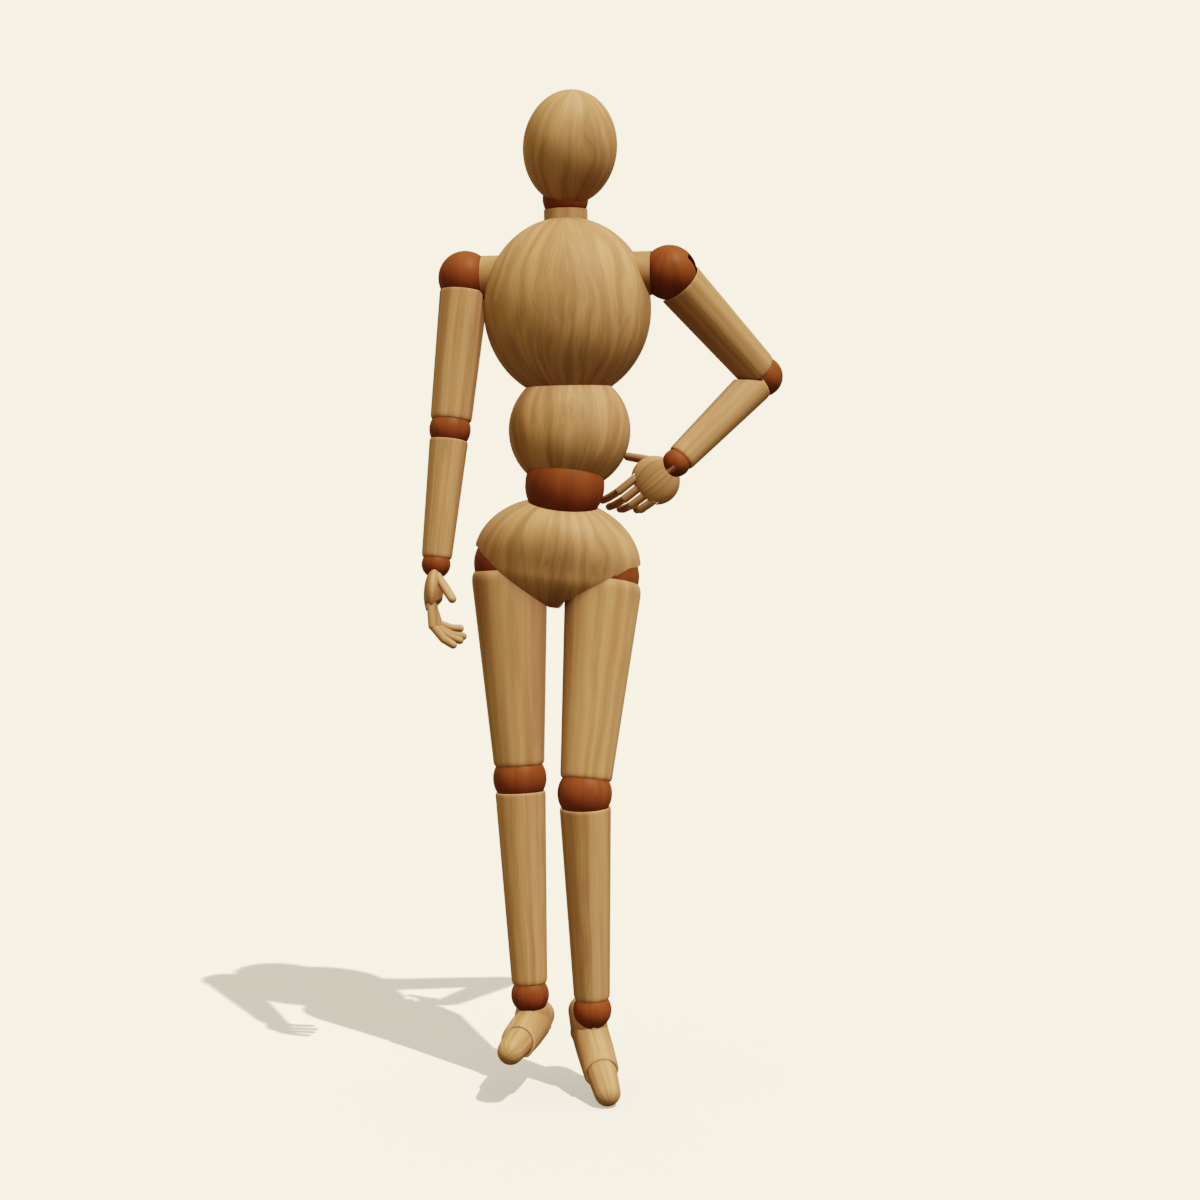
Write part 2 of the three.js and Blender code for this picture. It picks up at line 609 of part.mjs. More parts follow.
function palmBody(side) {
  const wrist = joints.wrist;
  const cup = cupRadius(wrist.ball, ballSides);
  const oval = revolve(ellipsoidProfile(1, 1, 180, 0, 20), ballSides)
    .scale(palm.halfWidth, palm.halfThickness, palm.halfLength)
    .translate(0, 0, -palm.reach);
  const top = new THREE.BoxGeometry(30, 20, 20).translate(0, 0, 10 - palm.wristCut);
  let body = solid(oval).subtract(solid(top)).subtract(solid(sphere(cup, ballSides)));
  const sweep = fingerSweep(40, knuckle.bend, knuckle.radius).translate(0, 0, -knuckle.down);
  body = body.subtract(solid(sweep));
  for (const finger of Object.values(fingers)) {
    const slot = plate(sweepOutline(knuckle.eye + smallClearance, 6, knuckle.bend), knuckle.tongue + 2 * smallClearance)
      .translate(finger.out, 0, -knuckle.down);
    body = body.subtract(solid(slot));
  }
  const pinReach = fingers.index.out + 1.1;
  body = body.add(solid(alongX(rod(knuckle.pin, -pinReach, pinReach, 6)).translate(0, 0, -knuckle.down)));
  const thumbJoint = { ...knuckle, bend: thumb.bend };
  const thumbSweep = fingerSweep(2 * fingerRadius + 2 * clearance, thumb.bend, knuckle.radius);
  const thumbSlot = plate(sweepOutline(knuckle.eye + smallClearance, 6, thumb.bend), knuckle.tongue + 2 * smallClearance);
  body = body.subtract(solid(placeThumb(thumbSweep))).subtract(solid(placeThumb(thumbSlot)))
    .add(solid(placeThumb(pinAcross(thumbJoint, smallClearance))));
  body = body.add(solid(tongueOf(wrist, cup + 1)));
  return side < 0 ? mirrored(body) : body;
}

function mirrored(body) {
  return solid(geometryOf(body).scale(-1, 1, 1));
}

// A round bar with a domed end, hanging from a start to an end centre.
function barProfile(from, to, radius) {
  return [[0, from], [radius, from], ...arc(radius, 90, 180, to, 45)];
}

function knuckleTongue(length) {
  return tongueOf(knuckle, length, smallClearance);
}

function hollowAbout(radius) {
  return alongX(rod(radius, -5, 5, 12));
}

// First bone of a finger, from its knuckle to the finger joint.
function proximalBody(finger) {
  const start = -1.2;
  const slot = plate(sweepOutline(fingerJoint.eye + smallClearance, 4, fingerJoint.bend),
    fingerJoint.tongue + 2 * smallClearance).translate(0, 0, -finger.proximal);
  const pin = pinAcross({ ...fingerJoint, tongue: fingerJoint.tongue - 0.7 }, smallClearance)
    .translate(0, 0, -finger.proximal);
  return solid(revolve(barProfile(start, -finger.proximal, fingerRadius), fingerSides))
    .subtract(solid(hollowAbout(knuckle.radius + smallClearance)))
    .add(solid(knuckleTongue(knuckle.radius + 1)))
    .subtract(solid(slot)).add(solid(pin));
}

// Middle and tip of a finger as one piece, from the finger joint.
function distalBody(finger) {
  const radius = fingerRadius - 0.1;
  const middle = revolve(barProfile(-0.8, -finger.middle, radius), fingerSides);
  const tip = revolve([[0, 0], ...arc(radius - 0.05, 90, 180, -finger.tip, 45)], fingerSides)
    .rotateX(rad(-tipBend)).translate(0, 0, -finger.middle);
  return solid(middle).subtract(solid(sphere(cupRadius(fingerRadius, fingerSides, 30), fingerSides, 30)))
    .add(solid(tip)).add(solid(tongueOf(fingerJoint, fingerRadius + 1, smallClearance)));
}

function thumbBody() {
  const profile = [[0, -1.2], [fingerRadius, -1.2], [fingerRadius * 1.08, -thumb.length * 0.5],
    ...arc(fingerRadius, 90, 180, -thumb.length, 30)];
  return solid(revolve(profile, fingerSides))
    .subtract(solid(hollowAbout(knuckle.radius + smallClearance)))
    .add(solid(knuckleTongue(knuckle.radius + 1)));
}

// Finishes and assembly.

const finishes = {
  maple: new THREE.MeshStandardMaterial({ color: 0xc49a62, roughness: 0.45, metalness: 0 }),
  stained: new THREE.MeshStandardMaterial({ color: 0x8a3d12, roughness: 0.35, metalness: 0 }),
  steel: new THREE.MeshStandardMaterial({ color: 0xb8babd, roughness: 0.3, metalness: 1 }),
};

function piece(parent, name, finish, body) {
  const mesh = new THREE.Mesh(geometryOf(body), finishes[finish].clone());
  mesh.name = name;
  parent.add(mesh);
  return mesh;
}

function joint(parent, name, place, axis, angle) {
  const group = new THREE.Group();
  group.name = name;
  group.position.set(...place);
  group.rotation[axis] = rad(angle);
  parent.add(group);
  return group;
}

const figure = new THREE.Group();
figure.name = 'figure';

const pelvisGroup = new THREE.Group();
pelvisGroup.rotation.set(rad(pose.pelvis.pitch), rad(pose.pelvis.roll), rad(pose.pelvis.yaw), 'ZYX');
const socketMouth = new THREE.Vector3(0, standBore.out, standBore.up).applyEuler(pelvisGroup.rotation);
pelvisGroup.position.copy(socketMouth).negate();
figure.add(pelvisGroup);
piece(pelvisGroup, 'pelvis', 'maple', pelvisBody());
piece(pelvisGroup, 'hip_rod', 'steel', hipRodBody());

const waistTurn = joint(pelvisGroup, 'waist_turn', [0, 0, waistUp], 'z', pose.waist.turn);
piece(waistTurn, 'waist_ball', 'stained', waistBall());
piece(waistTurn, 'waist_pin', 'steel', crossPin(joints.waist, joints.waist.ball - 1.5));
const waistBend = joint(waistTurn, 'waist_bend', [0, 0, 0], 'x', pose.waist.bend);
const stomachGroup = joint(waistBend, '', [0, 0, stomach.aboveWaist], 'z', 0);
piece(stomachGroup, 'stomach', 'maple', stomachBody());

const torsoTurn = joint(stomachGroup, 'torso_turn', [0, 0, 0], 'z', pose.torso.turn);
piece(torsoTurn, 'torso_plug', 'maple', torsoPlugBody());
piece(torsoTurn, 'torso_pin', 'steel', crossPin(joints.torso, torsoPlug.radius - 0.6));
const torsoBend = joint(torsoTurn, 'torso_bend', [0, 0, 0], 'x', pose.torso.bend);
piece(torsoBend, 'torso_post', 'maple', torsoPostBody());
const chestTurn = joint(torsoBend, 'chest_turn', [0, 0, 0], 'z', pose.torso.chestTurn);
const chestGroup = joint(chestTurn, '', [0, 0, chest.aboveStomach], 'z', 0);
piece(chestGroup, 'chest', 'maple', chestBody());

const neckBase = joint(chestGroup, '', [0, 0, neck.aboveChest], 'z', 0);
piece(neckBase, 'neck', 'maple', neckBody());
const neckTurn = joint(neckBase, 'neck_turn', [0, 0, 0], 'z', pose.neck.turn);
piece(neckTurn, 'neck_ball', 'stained', jointBall(joints.neck).rotate([180, 0, 0]));
const neckNod = joint(neckTurn, 'head_nod', [0, 0, 0], 'x', pose.neck.nod);
piece(neckNod, 'head', 'maple', headBody());

for (const [name, side] of [['right', -1], ['left', 1]]) {
  const rest = pose[name];
  piece(joint(chestGroup, '', [0, 0, shoulderPlace.up], 'z', 0), `${name}_shoulder_peg`, 'maple',
    shoulderPegBody(side));
  const swing = joint(chestGroup, `${name}_shoulder_swing`, [side * shoulderPlace.out, 0, shoulderPlace.up], 'x', rest.shoulder.swing);
  piece(swing, `${name}_shoulder_ball`, 'stained', shoulderBall(side));
  const raise = joint(swing, `${name}_shoulder_raise`, [0, 0, 0], 'y', -side * rest.shoulder.raise);
  piece(raise, `${name}_upper_arm`, 'maple', upperArmBody(side));
  const elbowTurn = joint(raise, `${name}_elbow_turn`, [0, 0, -upperArm.length], 'z', rest.elbow.turn);
  piece(elbowTurn, `${name}_elbow_ball`, 'stained', jointBall(joints.elbow));
  const elbowBend = joint(elbowTurn, `${name}_elbow_bend`, [0, 0, 0], 'x', rest.elbow.bend);
  piece(elbowBend, `${name}_forearm`, 'maple', limbOf(forearm, joints.elbow, joints.wrist, upperArm, elbowFold));
  const wristTurn = joint(elbowBend, `${name}_wrist_turn`, [0, 0, -forearm.length], 'z', rest.wrist.turn);
  piece(wristTurn, `${name}_wrist_ball`, 'stained', jointBall(joints.wrist));
  const hand = joint(wristTurn, `${name}_wrist_bend`, [0, 0, 0], 'x', rest.wrist.bend);
  piece(hand, `${name}_palm`, 'maple', palmBody(side));
  for (const [finger, size] of Object.entries(fingers)) {
    const root = new THREE.Group();
    root.position.set(side * size.out, 0, -knuckle.down);
    hand.add(root);
    const base = joint(root, `${name}_${finger}_knuckle`, [0, 0, 0], 'x', rest.knuckles[finger]);
    piece(base, `${name}_${finger}_finger`, 'maple', proximalBody(size));
    const end = joint(base, `${name}_${finger}_joint`, [0, 0, -size.proximal], 'x', rest.fingers[finger]);
    piece(end, `${name}_${finger}_fingertip`, 'maple', distalBody(size));
  }
  const thumbRoot = joint(hand, '', [side * thumb.out, -thumb.front, -thumb.down], 'y', -side * thumb.aim);
  const thumbBend = joint(thumbRoot, `${name}_thumb_bend`, [0, 0, 0], 'x', rest.thumb);
  piece(thumbBend, `${name}_thumb`, 'maple', thumbBody());

  const hipTurn = joint(pelvisGroup, `${name}_hip_swing`, [side * hipOut, 0, 0], 'x', rest.hip.swing);
  piece(hipTurn, `${name}_hip_ball`, 'stained', hipBall(side));
  const hipRaise = joint(hipTurn, `${name}_hip_spread`, [0, 0, 0], 'y', -side * rest.hip.raise);
  piece(hipRaise, `${name}_thigh`, 'maple', thighBody(side));
  const kneeTurn = joint(hipRaise, `${name}_knee_turn`, [0, 0, -thigh.length], 'z', rest.knee.turn);
  piece(kneeTurn, `${name}_knee_ball`, 'stained', jointBall(joints.knee));
  const kneeBend = joint(kneeTurn, `${name}_knee_bend`, [0, 0, 0], 'x', rest.knee.bend);
  piece(kneeBend, `${name}_shin`, 'maple', limbOf(shin, joints.knee, joints.ankle, thigh, kneeFold));
  const ankleTurn = joint(kneeBend, `${name}_ankle_turn`, [0, 0, -shin.length], 'z', rest.ankle.turn);
  piece(ankleTurn, `${name}_ankle_ball`, 'stained', jointBall(joints.ankle));
  const ankleBend = joint(ankleTurn, `${name}_ankle_bend`, [0, 0, 0], 'x', rest.ankle.bend);
  piece(ankleBend, `${name}_foot`, 'maple', footBody());
  const toeBend = joint(ankleBend, `${name}_toe_bend`, [0, -toeJointAhead, -foot.down], 'x', rest.toe);
  piece(toeBend, `${name}_toes`, 'maple', toesBody());
}

export default figure;
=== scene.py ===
"""A jointed wooden drawing figure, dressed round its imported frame.

Every turned piece of the CAD is replaced by a smooth one of the same size, built in millimetres in
the piece's own axes: Z along the piece, X along the pin that it swings on. The place of each piece
comes from the joints of the frame.
"""

import json
from math import acos, asin, ceil, cos, degrees, hypot, pi, radians, sin, sqrt

import bmesh
import bpy
from mathutils import Matrix, Vector


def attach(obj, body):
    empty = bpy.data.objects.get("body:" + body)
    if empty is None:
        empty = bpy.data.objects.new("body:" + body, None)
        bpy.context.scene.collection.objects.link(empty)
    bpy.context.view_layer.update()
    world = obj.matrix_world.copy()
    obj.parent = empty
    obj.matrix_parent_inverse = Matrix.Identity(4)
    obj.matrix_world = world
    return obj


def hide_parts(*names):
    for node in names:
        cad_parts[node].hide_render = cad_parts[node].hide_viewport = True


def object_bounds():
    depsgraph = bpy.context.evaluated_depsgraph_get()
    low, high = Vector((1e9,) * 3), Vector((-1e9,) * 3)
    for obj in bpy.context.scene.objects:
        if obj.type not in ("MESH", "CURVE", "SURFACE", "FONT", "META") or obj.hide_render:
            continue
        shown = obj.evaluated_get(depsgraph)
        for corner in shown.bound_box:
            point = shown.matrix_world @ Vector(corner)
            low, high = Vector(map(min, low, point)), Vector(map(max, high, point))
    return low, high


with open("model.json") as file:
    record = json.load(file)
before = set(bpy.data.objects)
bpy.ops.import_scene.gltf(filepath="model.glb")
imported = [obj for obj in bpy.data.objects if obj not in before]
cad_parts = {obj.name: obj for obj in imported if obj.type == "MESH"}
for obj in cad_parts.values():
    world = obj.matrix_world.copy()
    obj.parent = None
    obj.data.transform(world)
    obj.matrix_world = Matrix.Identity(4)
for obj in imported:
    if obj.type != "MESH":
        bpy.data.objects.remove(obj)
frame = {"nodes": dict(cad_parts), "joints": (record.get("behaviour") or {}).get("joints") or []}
size_at_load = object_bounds()

MM = 0.001
JOINTS = {joint["name"]: joint for joint in frame["joints"]}
SIDES = (("right", -1), ("left", 1))

# How finely round pieces are drawn: sides of a turned piece, and degrees from point to point.
ROUND = 72
FINE_ROUND = 32
ARC_STEP = 5
EGG_STEP = 4
HEEL_STEP = 6
FINGER_STEP = 15

# Sizes from here to the materials are in millimetres, and angles in degrees.

# Room between pieces: a ball and its cup, a dowel and its bore, a tongue and its slot, a limb and
# the trunk that it hangs beside, a swinging thigh and the pelvis, a folded limb and the one above,
# a finger and its knuckle, and a folded finger and its first bone.
SEAM = 0.18
DOWEL_ROOM = 0.1
GAP = 0.3
PASSING_ROOM = 0.35
SWING_ROOM = 0.45
FOLD_ROOM = 0.5
KNUCKLE_ROOM = 0.1
FINGER_ROOM = 0.12

# Half the length of a tool that cuts right through, and the far ends of tools that start inside.
THROUGH = 20
PAST_CHEST = 45
PAST_SHOULDER = 25
PAST_FOLDED_LIMB = 30
PAST_HIP_BALL = 16
DOWN_THE_THIGH = -50

# Pelvis: an egg with its own depth below the middle and a fuller front above it. A girth is the
# distance from the axis at which the grain keeps its real width.
PELVIS = {
    "half": (33.4, 21.5, 26.1),
    "rise": 2.8,
    "depth_below": 17.5,
    "fuller_front": 0.5,
    "girth": 28,
}

# The bore for a stand, and the flat seat round its mouth: how high it lies and how far out.
STAND_BORE = {"radius": 4.1, "depth": 12.5, "seat_radius": 5.4, "up": 8, "out": 19.6}
OUTSIDE_PELVIS = 24.6

# The trunk above the pelvis. Lips are the walls of cups at their rims.
WAIST_PIN_BORE = 1.7
WAIST_BORE_DEPTH = 24
STOMACH_RADIUS = 23.9
TORSO_PLUG = {"radius": 12, "bore_floor": -4.9}
CHEST = {"radius": 32.8, "half_height": 35.5, "centre": 47.4}
CHEST_POST = {"radius": 5, "length": 14}
SHOULDER_PEG = {"radius": 8.5, "length": 12, "lip": 0.15}
NECK = {"radius": 8.5, "dowel": 5, "dowel_length": 12, "lip": 0.5, "above_chest": 0.1}
HEAD = {"radius": 18.2, "half_height": 21.9, "above_neck": 19.8}

# The steel rod that both hip balls turn on, with the stretch of it that the thighs are notched for.
HIP_ROD = {"radius": 1.5, "bite": 5, "notch": (9, 18)}

# The travel of the thighs that the pelvis leaves free, as the CAD has it: from back to ahead, and
# inwards. The rooms cut along it grow by a hair, so that no two of them share a surface.
HIP_SWING = (-23.5, 20)
HIP_SWING_STEPS = 4
HIP_IN = {"right": 12, "left": 2}
WIDER_EACH_STEP = 0.04
WIDER_INWARDS = 0.02
HIP_POCKET_TOP = 6.5

# Limbs: radius at both ends, the wall at each rim and the rounding of the lower edge. The thigh's
# flat top is rounded in towards its middle and down its side.
UPPER_ARM = {"top": 9.5, "bottom": 8.1, "top_lip": 0.35, "bottom_lip": 0.7, "round": 3}
FOREARM = {"top": 7.5, "bottom": 5.9, "top_lip": 0.5, "bottom_lip": 0.7, "round": 2.6}
THIGH = {"top": 15, "bottom": 10.2, "bottom_lip": 0.9, "round": 3.6}
THIGH_TOP = {"rim": 1.8, "round_in": 3.2, "round_down": 5, "side": (14.9, -9)}
SHIN = {"top": 9.95, "bottom": 7.1, "top_lip": 0.6, "bottom_lip": 0.9, "round": 3.2}
SPIGOT_BORE_DEPTH = 5

# The share of a rim's wall that its rounding takes, and a point on the side near the rim: how much
# the limb has tapered there and how far from the rim it lies.
LOWER_RIM = {"rounded": 0.95, "taper": 0.1, "near": 8}
UPPER_RIM = {"rounded": 0.9, "taper": 0.2, "near": 8}

# How far elbow and knee fold, and the shares of the fold at which room is cut for it.
ELBOW_FOLD = -104
KNEE_FOLD = 92
FOLD_STEPS = (0.6, 0.8, 1)

# The lean of a hanging upper arm and the height of the shoulder above the middle of the chest.
HANGING_ARM = 5.4
SHOULDER_UP = 13

# Ball joints: the ball's radius, its spigot's radius and reach past the ball, the thickness and
# half-width of the tongue, and the bend that the slot leaves free.
BALLS = {
    "neck": {"ball": 8.9, "spigot": (2.4, 4), "tongue": (2.6, 2.6), "bend": (-28, 28)},
    "shoulder": {"ball": 10.65, "spigot": (2, 4), "tongue": (2.6, 3), "bend": (-8, 115)},
    "elbow": {"ball": 8.06, "spigot": (2, 4), "tongue": (2.2, 2.5), "bend": (-106, 4)},
    "wrist": {"ball": 5.57, "spigot": (1.4, 3), "tongue": (1.4, 1.6), "bend": (-52, 32)},
    "hip": {"ball": 13.8, "tongue": (3, 3.4), "bend": (-14, 27)},
    "knee": {"ball": 10.6, "spigot": (2.5, 4), "tongue": (2.8, 3.2), "bend": (-4, 98)},
    "ankle": {"ball": 7.5, "spigot": (2, 4), "tongue": (2, 2.3), "bend": (-16, 46)},
    "waist": {"ball": 15.55, "spigot": (3.6, 6), "tongue": (4.4, 4.4), "bend": (-40, 26)},
}

# Hand: an oval palm, and fingers that swing about one knuckle line, over a range of angles from
# straight down. The fingers' second bones are a little slimmer, and slimmer still at the tip.
PALM = {"half": (10, 3.7, 9.5), "reach": 10.7, "wrist_cut": 1.4}
KNUCKLE = {"down": 16.6, "radius": 2, "half_width": 1.9}
FINGER_SWEEP = {"radius": 9, "from": -133, "to": 54, "steps": 8}
FINGERS = {
    "index": {"out": 5.9, "middle": 6.7, "tip": 4.3},
    "middle": {"out": 2.0, "middle": 6.9, "tip": 4.3},
    "ring": {"out": -1.9, "middle": 6.7, "tip": 4.3},
    "little": {"out": -5.7, "middle": 5.2, "tip": 3.6},
}
FINGER_RADIUS = 1.65
SECOND_BONE_SLIMMER = 0.1
TIP_SLIMMER = 0.05
FINGER_GIRTH = 2
FINGER_FOLD = 64
FINGER_FOLD_STEPS = (0.5, 0.75, 1)
FINGER_FOLD_LENGTH = 8
TIP_BEND = 19
THUMB = {"length": 14.6, "swell": 1.08}

# Foot: a bar with a round heel, straight in the middle and tapered to the toes, and an instep,
# given as radius and height, that rises to the ankle ball.
FOOT = {"down": 11.8, "sole": 5.6, "heel_back": 9.6, "heel": 6.2, "middle": 7.3, "straight": 10}
FOOT_FRONT = {"at_toes": 6.9, "end": 6.6}
INSTEP = ((0, -14), (7.3, -14), (7.2, -10), (6.6, -7), (5.8, -4.4), (0, -4.4))

# The foot's front edge, rounded towards the toes: radius and distance behind the edge, the lean of
# the edge, and how far it is set back and lowered.
FOOT_EDGE = (
    *((6.3, 0), (6.75, 0.35), (7.05, 0.9), (7.4, 1.8)),
    *((8.2, 3.1), (10, 5), (30, 15), (30, 50)),
)
FOOT_EDGE_LEAN = 15
FOOT_EDGE_PLACE = (0.75, -0.2)

# Toes: a ball that tips in the foot, and a smaller round tip. Each is drawn up to an angle where a
# straight side joins them.
TOES = {"ahead": 22.2, "ball": 5.9, "tip_ahead": 9.1, "tip": 5.1, "sole_lift": 0.4}
BALL_SIDE = 88
TIP_SIDE = 94


# Placing: a piece's axes in the frame, from the pin it swings on and a point that it is known to
# hold.


def point(joint):
    return Vector(JOINTS[joint]["pos_m"])


def axis(joint):
    return Vector(JOINTS[joint]["axis"]).normalized()


def farthest(node, origin):
    """The vertex of a CAD node that lies farthest from a point."""
    places = (vertex.co for vertex in frame["nodes"][node].data.vertices)
    return max(places, key=lambda co: (co - origin).length)


def square_to(a, b, towards):
    """The direction square to two others, on the side of a third."""
    way = a.cross(b)
    if way.dot(towards) < 0:
        way.negate()
    return way


def placed(origin, along_x, seen, known):
    """The matrix that carries the piece's own axes, in millimetres, to the frame.

    known is the place (y, z) of the point seen, in the piece's own axes.
    """
    x = along_x.normalized()
    u = seen - origin
    u = (u - x * u.dot(x)).normalized()
    w = x.cross(u)
    ky, kz = Vector(known).normalized()
    y = ky * u - kz * w
    z = kz * u + ky * w
    turn = Matrix((x, y, z)).transposed().to_4x4()
    return Matrix.Translation(origin) @ turn @ Matrix.Scale(MM, 4)


ACROSS_SHOULDERS = point("left_shoulder_swing") - point("right_shoulder_swing")
ACROSS_HIPS = point("left_hip_swing") - point("right_hip_swing")
SHOULDER_OUT = ACROSS_SHOULDERS.length / 2 / MM
HIP_OUT = ACROSS_HIPS.length / 2 / MM


# Shapes.


def arc(radius, start, stop, height=0, step=ARC_STEP):
    """Points (r, z) on an arc about the axis, with angles from +Z in degrees."""
    count = max(2, ceil(abs(stop - start) / step))
    angles = [radians(start + (stop - start) * i / count) for i in range(count + 1)]
    return [(abs(radius * sin(a)), height + radius * cos(a)) for a in angles]


def egg(radius, half_height, height=0):
    """The profile of an egg about the axis, from its foot to its crown."""
    return [(r * radius, height + z * half_height) for r, z in arc(1, 180, 0, 0, EGG_STEP)]


def rounded(corner, before, after, back, ahead, steps=6):
    """A corner of a profile, rounded from a distance back to a distance ahead of it."""
    c, a, b = Vector(corner), Vector(before), Vector(after)
    start, end = c + (a - c).normalized() * back, c + (b - c).normalized() * ahead
    return [
        tuple((1 - t) ** 2 * start + 2 * t * (1 - t) * c + t * t * end)
        for t in (i / steps for i in range(steps + 1))
    ]


def new_mesh(name, bm):
    bmesh.ops.remove_doubles(bm, verts=bm.verts, dist=1e-5)
    bmesh.ops.recalc_face_normals(bm, faces=bm.faces)
    mesh = bpy.data.meshes.new(name)
    bm.to_mesh(mesh)
    bm.free()
    piece = bpy.data.objects.new(name, mesh)
    bpy.context.scene.collection.objects.link(piece)
    return piece


def revolve(profile, sides=ROUND):
    """A closed revolve about Z of a profile that starts and ends on the axis."""
    bm = bmesh.new()
    turns = [2 * pi * i / sides for i in range(sides)]
    rings = []
    for r, z in profile:
        if r < 1e-6:
            rings.append([bm.verts.new((0, 0, z))])
        else:
            rings.append([bm.verts.new((r * cos(t), r * sin(t), z)) for t in turns])
    for low, high in zip(rings, rings[1:]):
        for i in range(sides):
            around = ((low, i), (low, i + 1), (high, i + 1), (high, i))
            corners = list(dict.fromkeys(ring[j % len(ring)] for ring, j in around))
            if len(corners) > 2:
                bm.faces.new(corners)
    return new_mesh("turned", bm)


def sphere(radius, sides=ROUND):
    return revolve(arc(radius, 180, 0), sides)


def rod(radius, start, stop, sides=FINE_ROUND):
    return revolve([(0, start), (radius, start), (radius, stop), (0, stop)], sides)


def bone(radius, length, end_radius=None):
    """The profile of a finger bone that hangs from the origin, domed at both ends."""
    end = arc(end_radius or radius, 90, 180, -length, FINGER_STEP)
    return [*arc(radius, 0, 90, 0, FINGER_STEP), *end]


def plate(outline, thickness):
    """A flat plate in the YZ plane, centred on X, from points (y, z)."""
    bm = bmesh.new()
    left, right = (
        [bm.verts.new((x, y, z)) for y, z in outline] for x in (-thickness / 2, thickness / 2)
    )
    bm.faces.new(left)
    bm.faces.new(reversed(right))
    count = len(outline)
    for i in range(count):
        j = (i + 1) % count
        bm.faces.new((left[j], left[i], right[i], right[j]))
    return new_mesh("plate", bm)


def block(low, high):
    bm = bmesh.new()
    bmesh.ops.create_cube(bm, size=1)
    low, high = Vector(low), Vector(high)
    for vertex in bm.verts:
        vertex.co = [low[i] + (vertex.co[i] + 0.5) * (high[i] - low[i]) for i in range(3)]
    return new_mesh("block", bm)


def moved(piece, *steps):
    """The piece after a series of steps: ("X", degrees) turns it, a tuple of three moves it."""
    for step in steps:
        if isinstance(step[0], str):
            piece.data.transform(Matrix.Rotation(radians(step[1]), 4, step[0]))
        else:
            piece.data.transform(Matrix.Translation(step))
    return piece


def combine(piece, tool, operation):
    """The piece after a boolean with a tool, which is used up."""
    modifier = piece.modifiers.new("boolean", "BOOLEAN")
    modifier.operation = operation
    modifier.solver = "EXACT"
    modifier.object = tool
    bpy.context.view_layer.update()
    evaluated = piece.evaluated_get(bpy.context.evaluated_depsgraph_get())
    made = bpy.data.meshes.new_from_object(evaluated)
    piece.modifiers.clear()
    piece.data = made
    bpy.data.objects.remove(tool)
    return piece


def cut(piece, *tools):
    for tool in tools:
        combine(piece, tool, "DIFFERENCE")
    return piece


def join(piece, *tools):
    for tool in tools:
        combine(piece, tool, "UNION")
    return piece


# Joints.


def cup_of(joint):
    return joint["ball"] + SEAM


def rim_height(cup, radius, lip):
    """How far from the ball's centre a cup's rim lies, on a piece of some radius and rim wall."""
    return sqrt(cup**2 - (radius - lip) ** 2)


def hanging(angle, side, along):
    """A point (y, z) beside and along a strip that hangs from the origin at an angle."""
    y, z = sin(radians(angle)), -cos(radians(angle))
    return (y * along + z * side, z * along - y * side)


def slot_for(joint):
    """The room that a hanging tongue with a round end sweeps over the joint's bends."""
    thickness, eye = joint["tongue"]
    half_width, reach = eye + GAP, joint["ball"] * 1.2
    low, high = joint["bend"]
    points = [hanging(low, half_width, 0), hanging(low, half_width, reach)]
    points += [hanging(low + (high - low) * i / 8, 0, reach * 1.1) for i in range(1, 8)]
    points += [hanging(high, -half_width, reach), hanging(high, -half_width, 0)]
    closing = 180 - (high - low)
    points += [hanging(high + 90 + closing * i / 6, 0, half_width) for i in range(1, 6)]
    return plate(points, thickness + 2 * GAP)


def tongue_of(joint, bite=1):
    """A tongue that hangs from its round end in the ball and bites into the piece below."""
    thickness, eye = joint["tongue"]
    length = cup_of(joint) + bite
    top = [(eye * cos(radians(a)), eye * sin(radians(a))) for a in range(0, 181, 15)]
    return plate([(-eye, -length), (eye, -length), *top], thickness)


def ball_with_spigot(joint):
    """A ball with its spigot up and its slot below."""
    radius, reach = joint["spigot"]
    angle = degrees(asin(radius / joint["ball"]))
    top = joint["ball"] + reach
    ball = revolve([*arc(joint["ball"], 180, angle), (radius, top), (0, top)])
    return cut(ball, slot_for(joint))


def lower_end(limb, joint, length):
    """The lower end of a limb: rounded edge, cup and bore."""
    cup = cup_of(joint)
    rim = rim_height(cup, limb["bottom"], limb["bottom_lip"])
    inner = (limb["bottom"] - limb["bottom_lip"], rim - length)
    outer = (limb["bottom"], rim - length)
    up_the_side = (limb["bottom"] + LOWER_RIM["taper"], rim - length + LOWER_RIM["near"])
    bore = joint["spigot"][0] + SEAM
    top = joint["ball"] + SPIGOT_BORE_DEPTH - length
    return [
        *rounded(
            outer, up_the_side, inner, limb["round"], limb["bottom_lip"] * LOWER_RIM["rounded"]
        ),
        *arc(cup, degrees(acos(rim / cup)), degrees(asin(bore / cup)), -length),
        (bore, top),
        (0, top),
    ]


def limb_profile(limb, upper, lower, length):
    """A tapered limb that hangs from the ball above, with a cup at both ends."""
    cup = cup_of(upper)
    rim = rim_height(cup, limb["top"], limb["top_lip"])
    inner = (limb["top"] - limb["top_lip"], -rim)
    outer = (limb["top"], -rim)
    down_the_side = (limb["top"] - UPPER_RIM["taper"], -rim - UPPER_RIM["near"])
    return [
        *arc(cup, 180, 180 - degrees(acos(rim / cup))),
        *rounded(
            outer, inner, down_the_side, limb["top_lip"] * UPPER_RIM["rounded"], limb["round"] / 2
        ),
        *lower_end(limb, lower, length),
    ]


def fold_relief(above, joint, fold):
    """Cuts that clear the lower end of the limb above when the joint is folded."""
    rim = rim_height(cup_of(joint), above["bottom"], above["bottom_lip"])
    radius = above["bottom"] + FOLD_ROOM
    return [
        moved(rod(radius, rim - FOLD_ROOM, PAST_FOLDED_LIMB, ROUND), ("X", -fold * share))
        for share in FOLD_STEPS
    ]


# Materials.


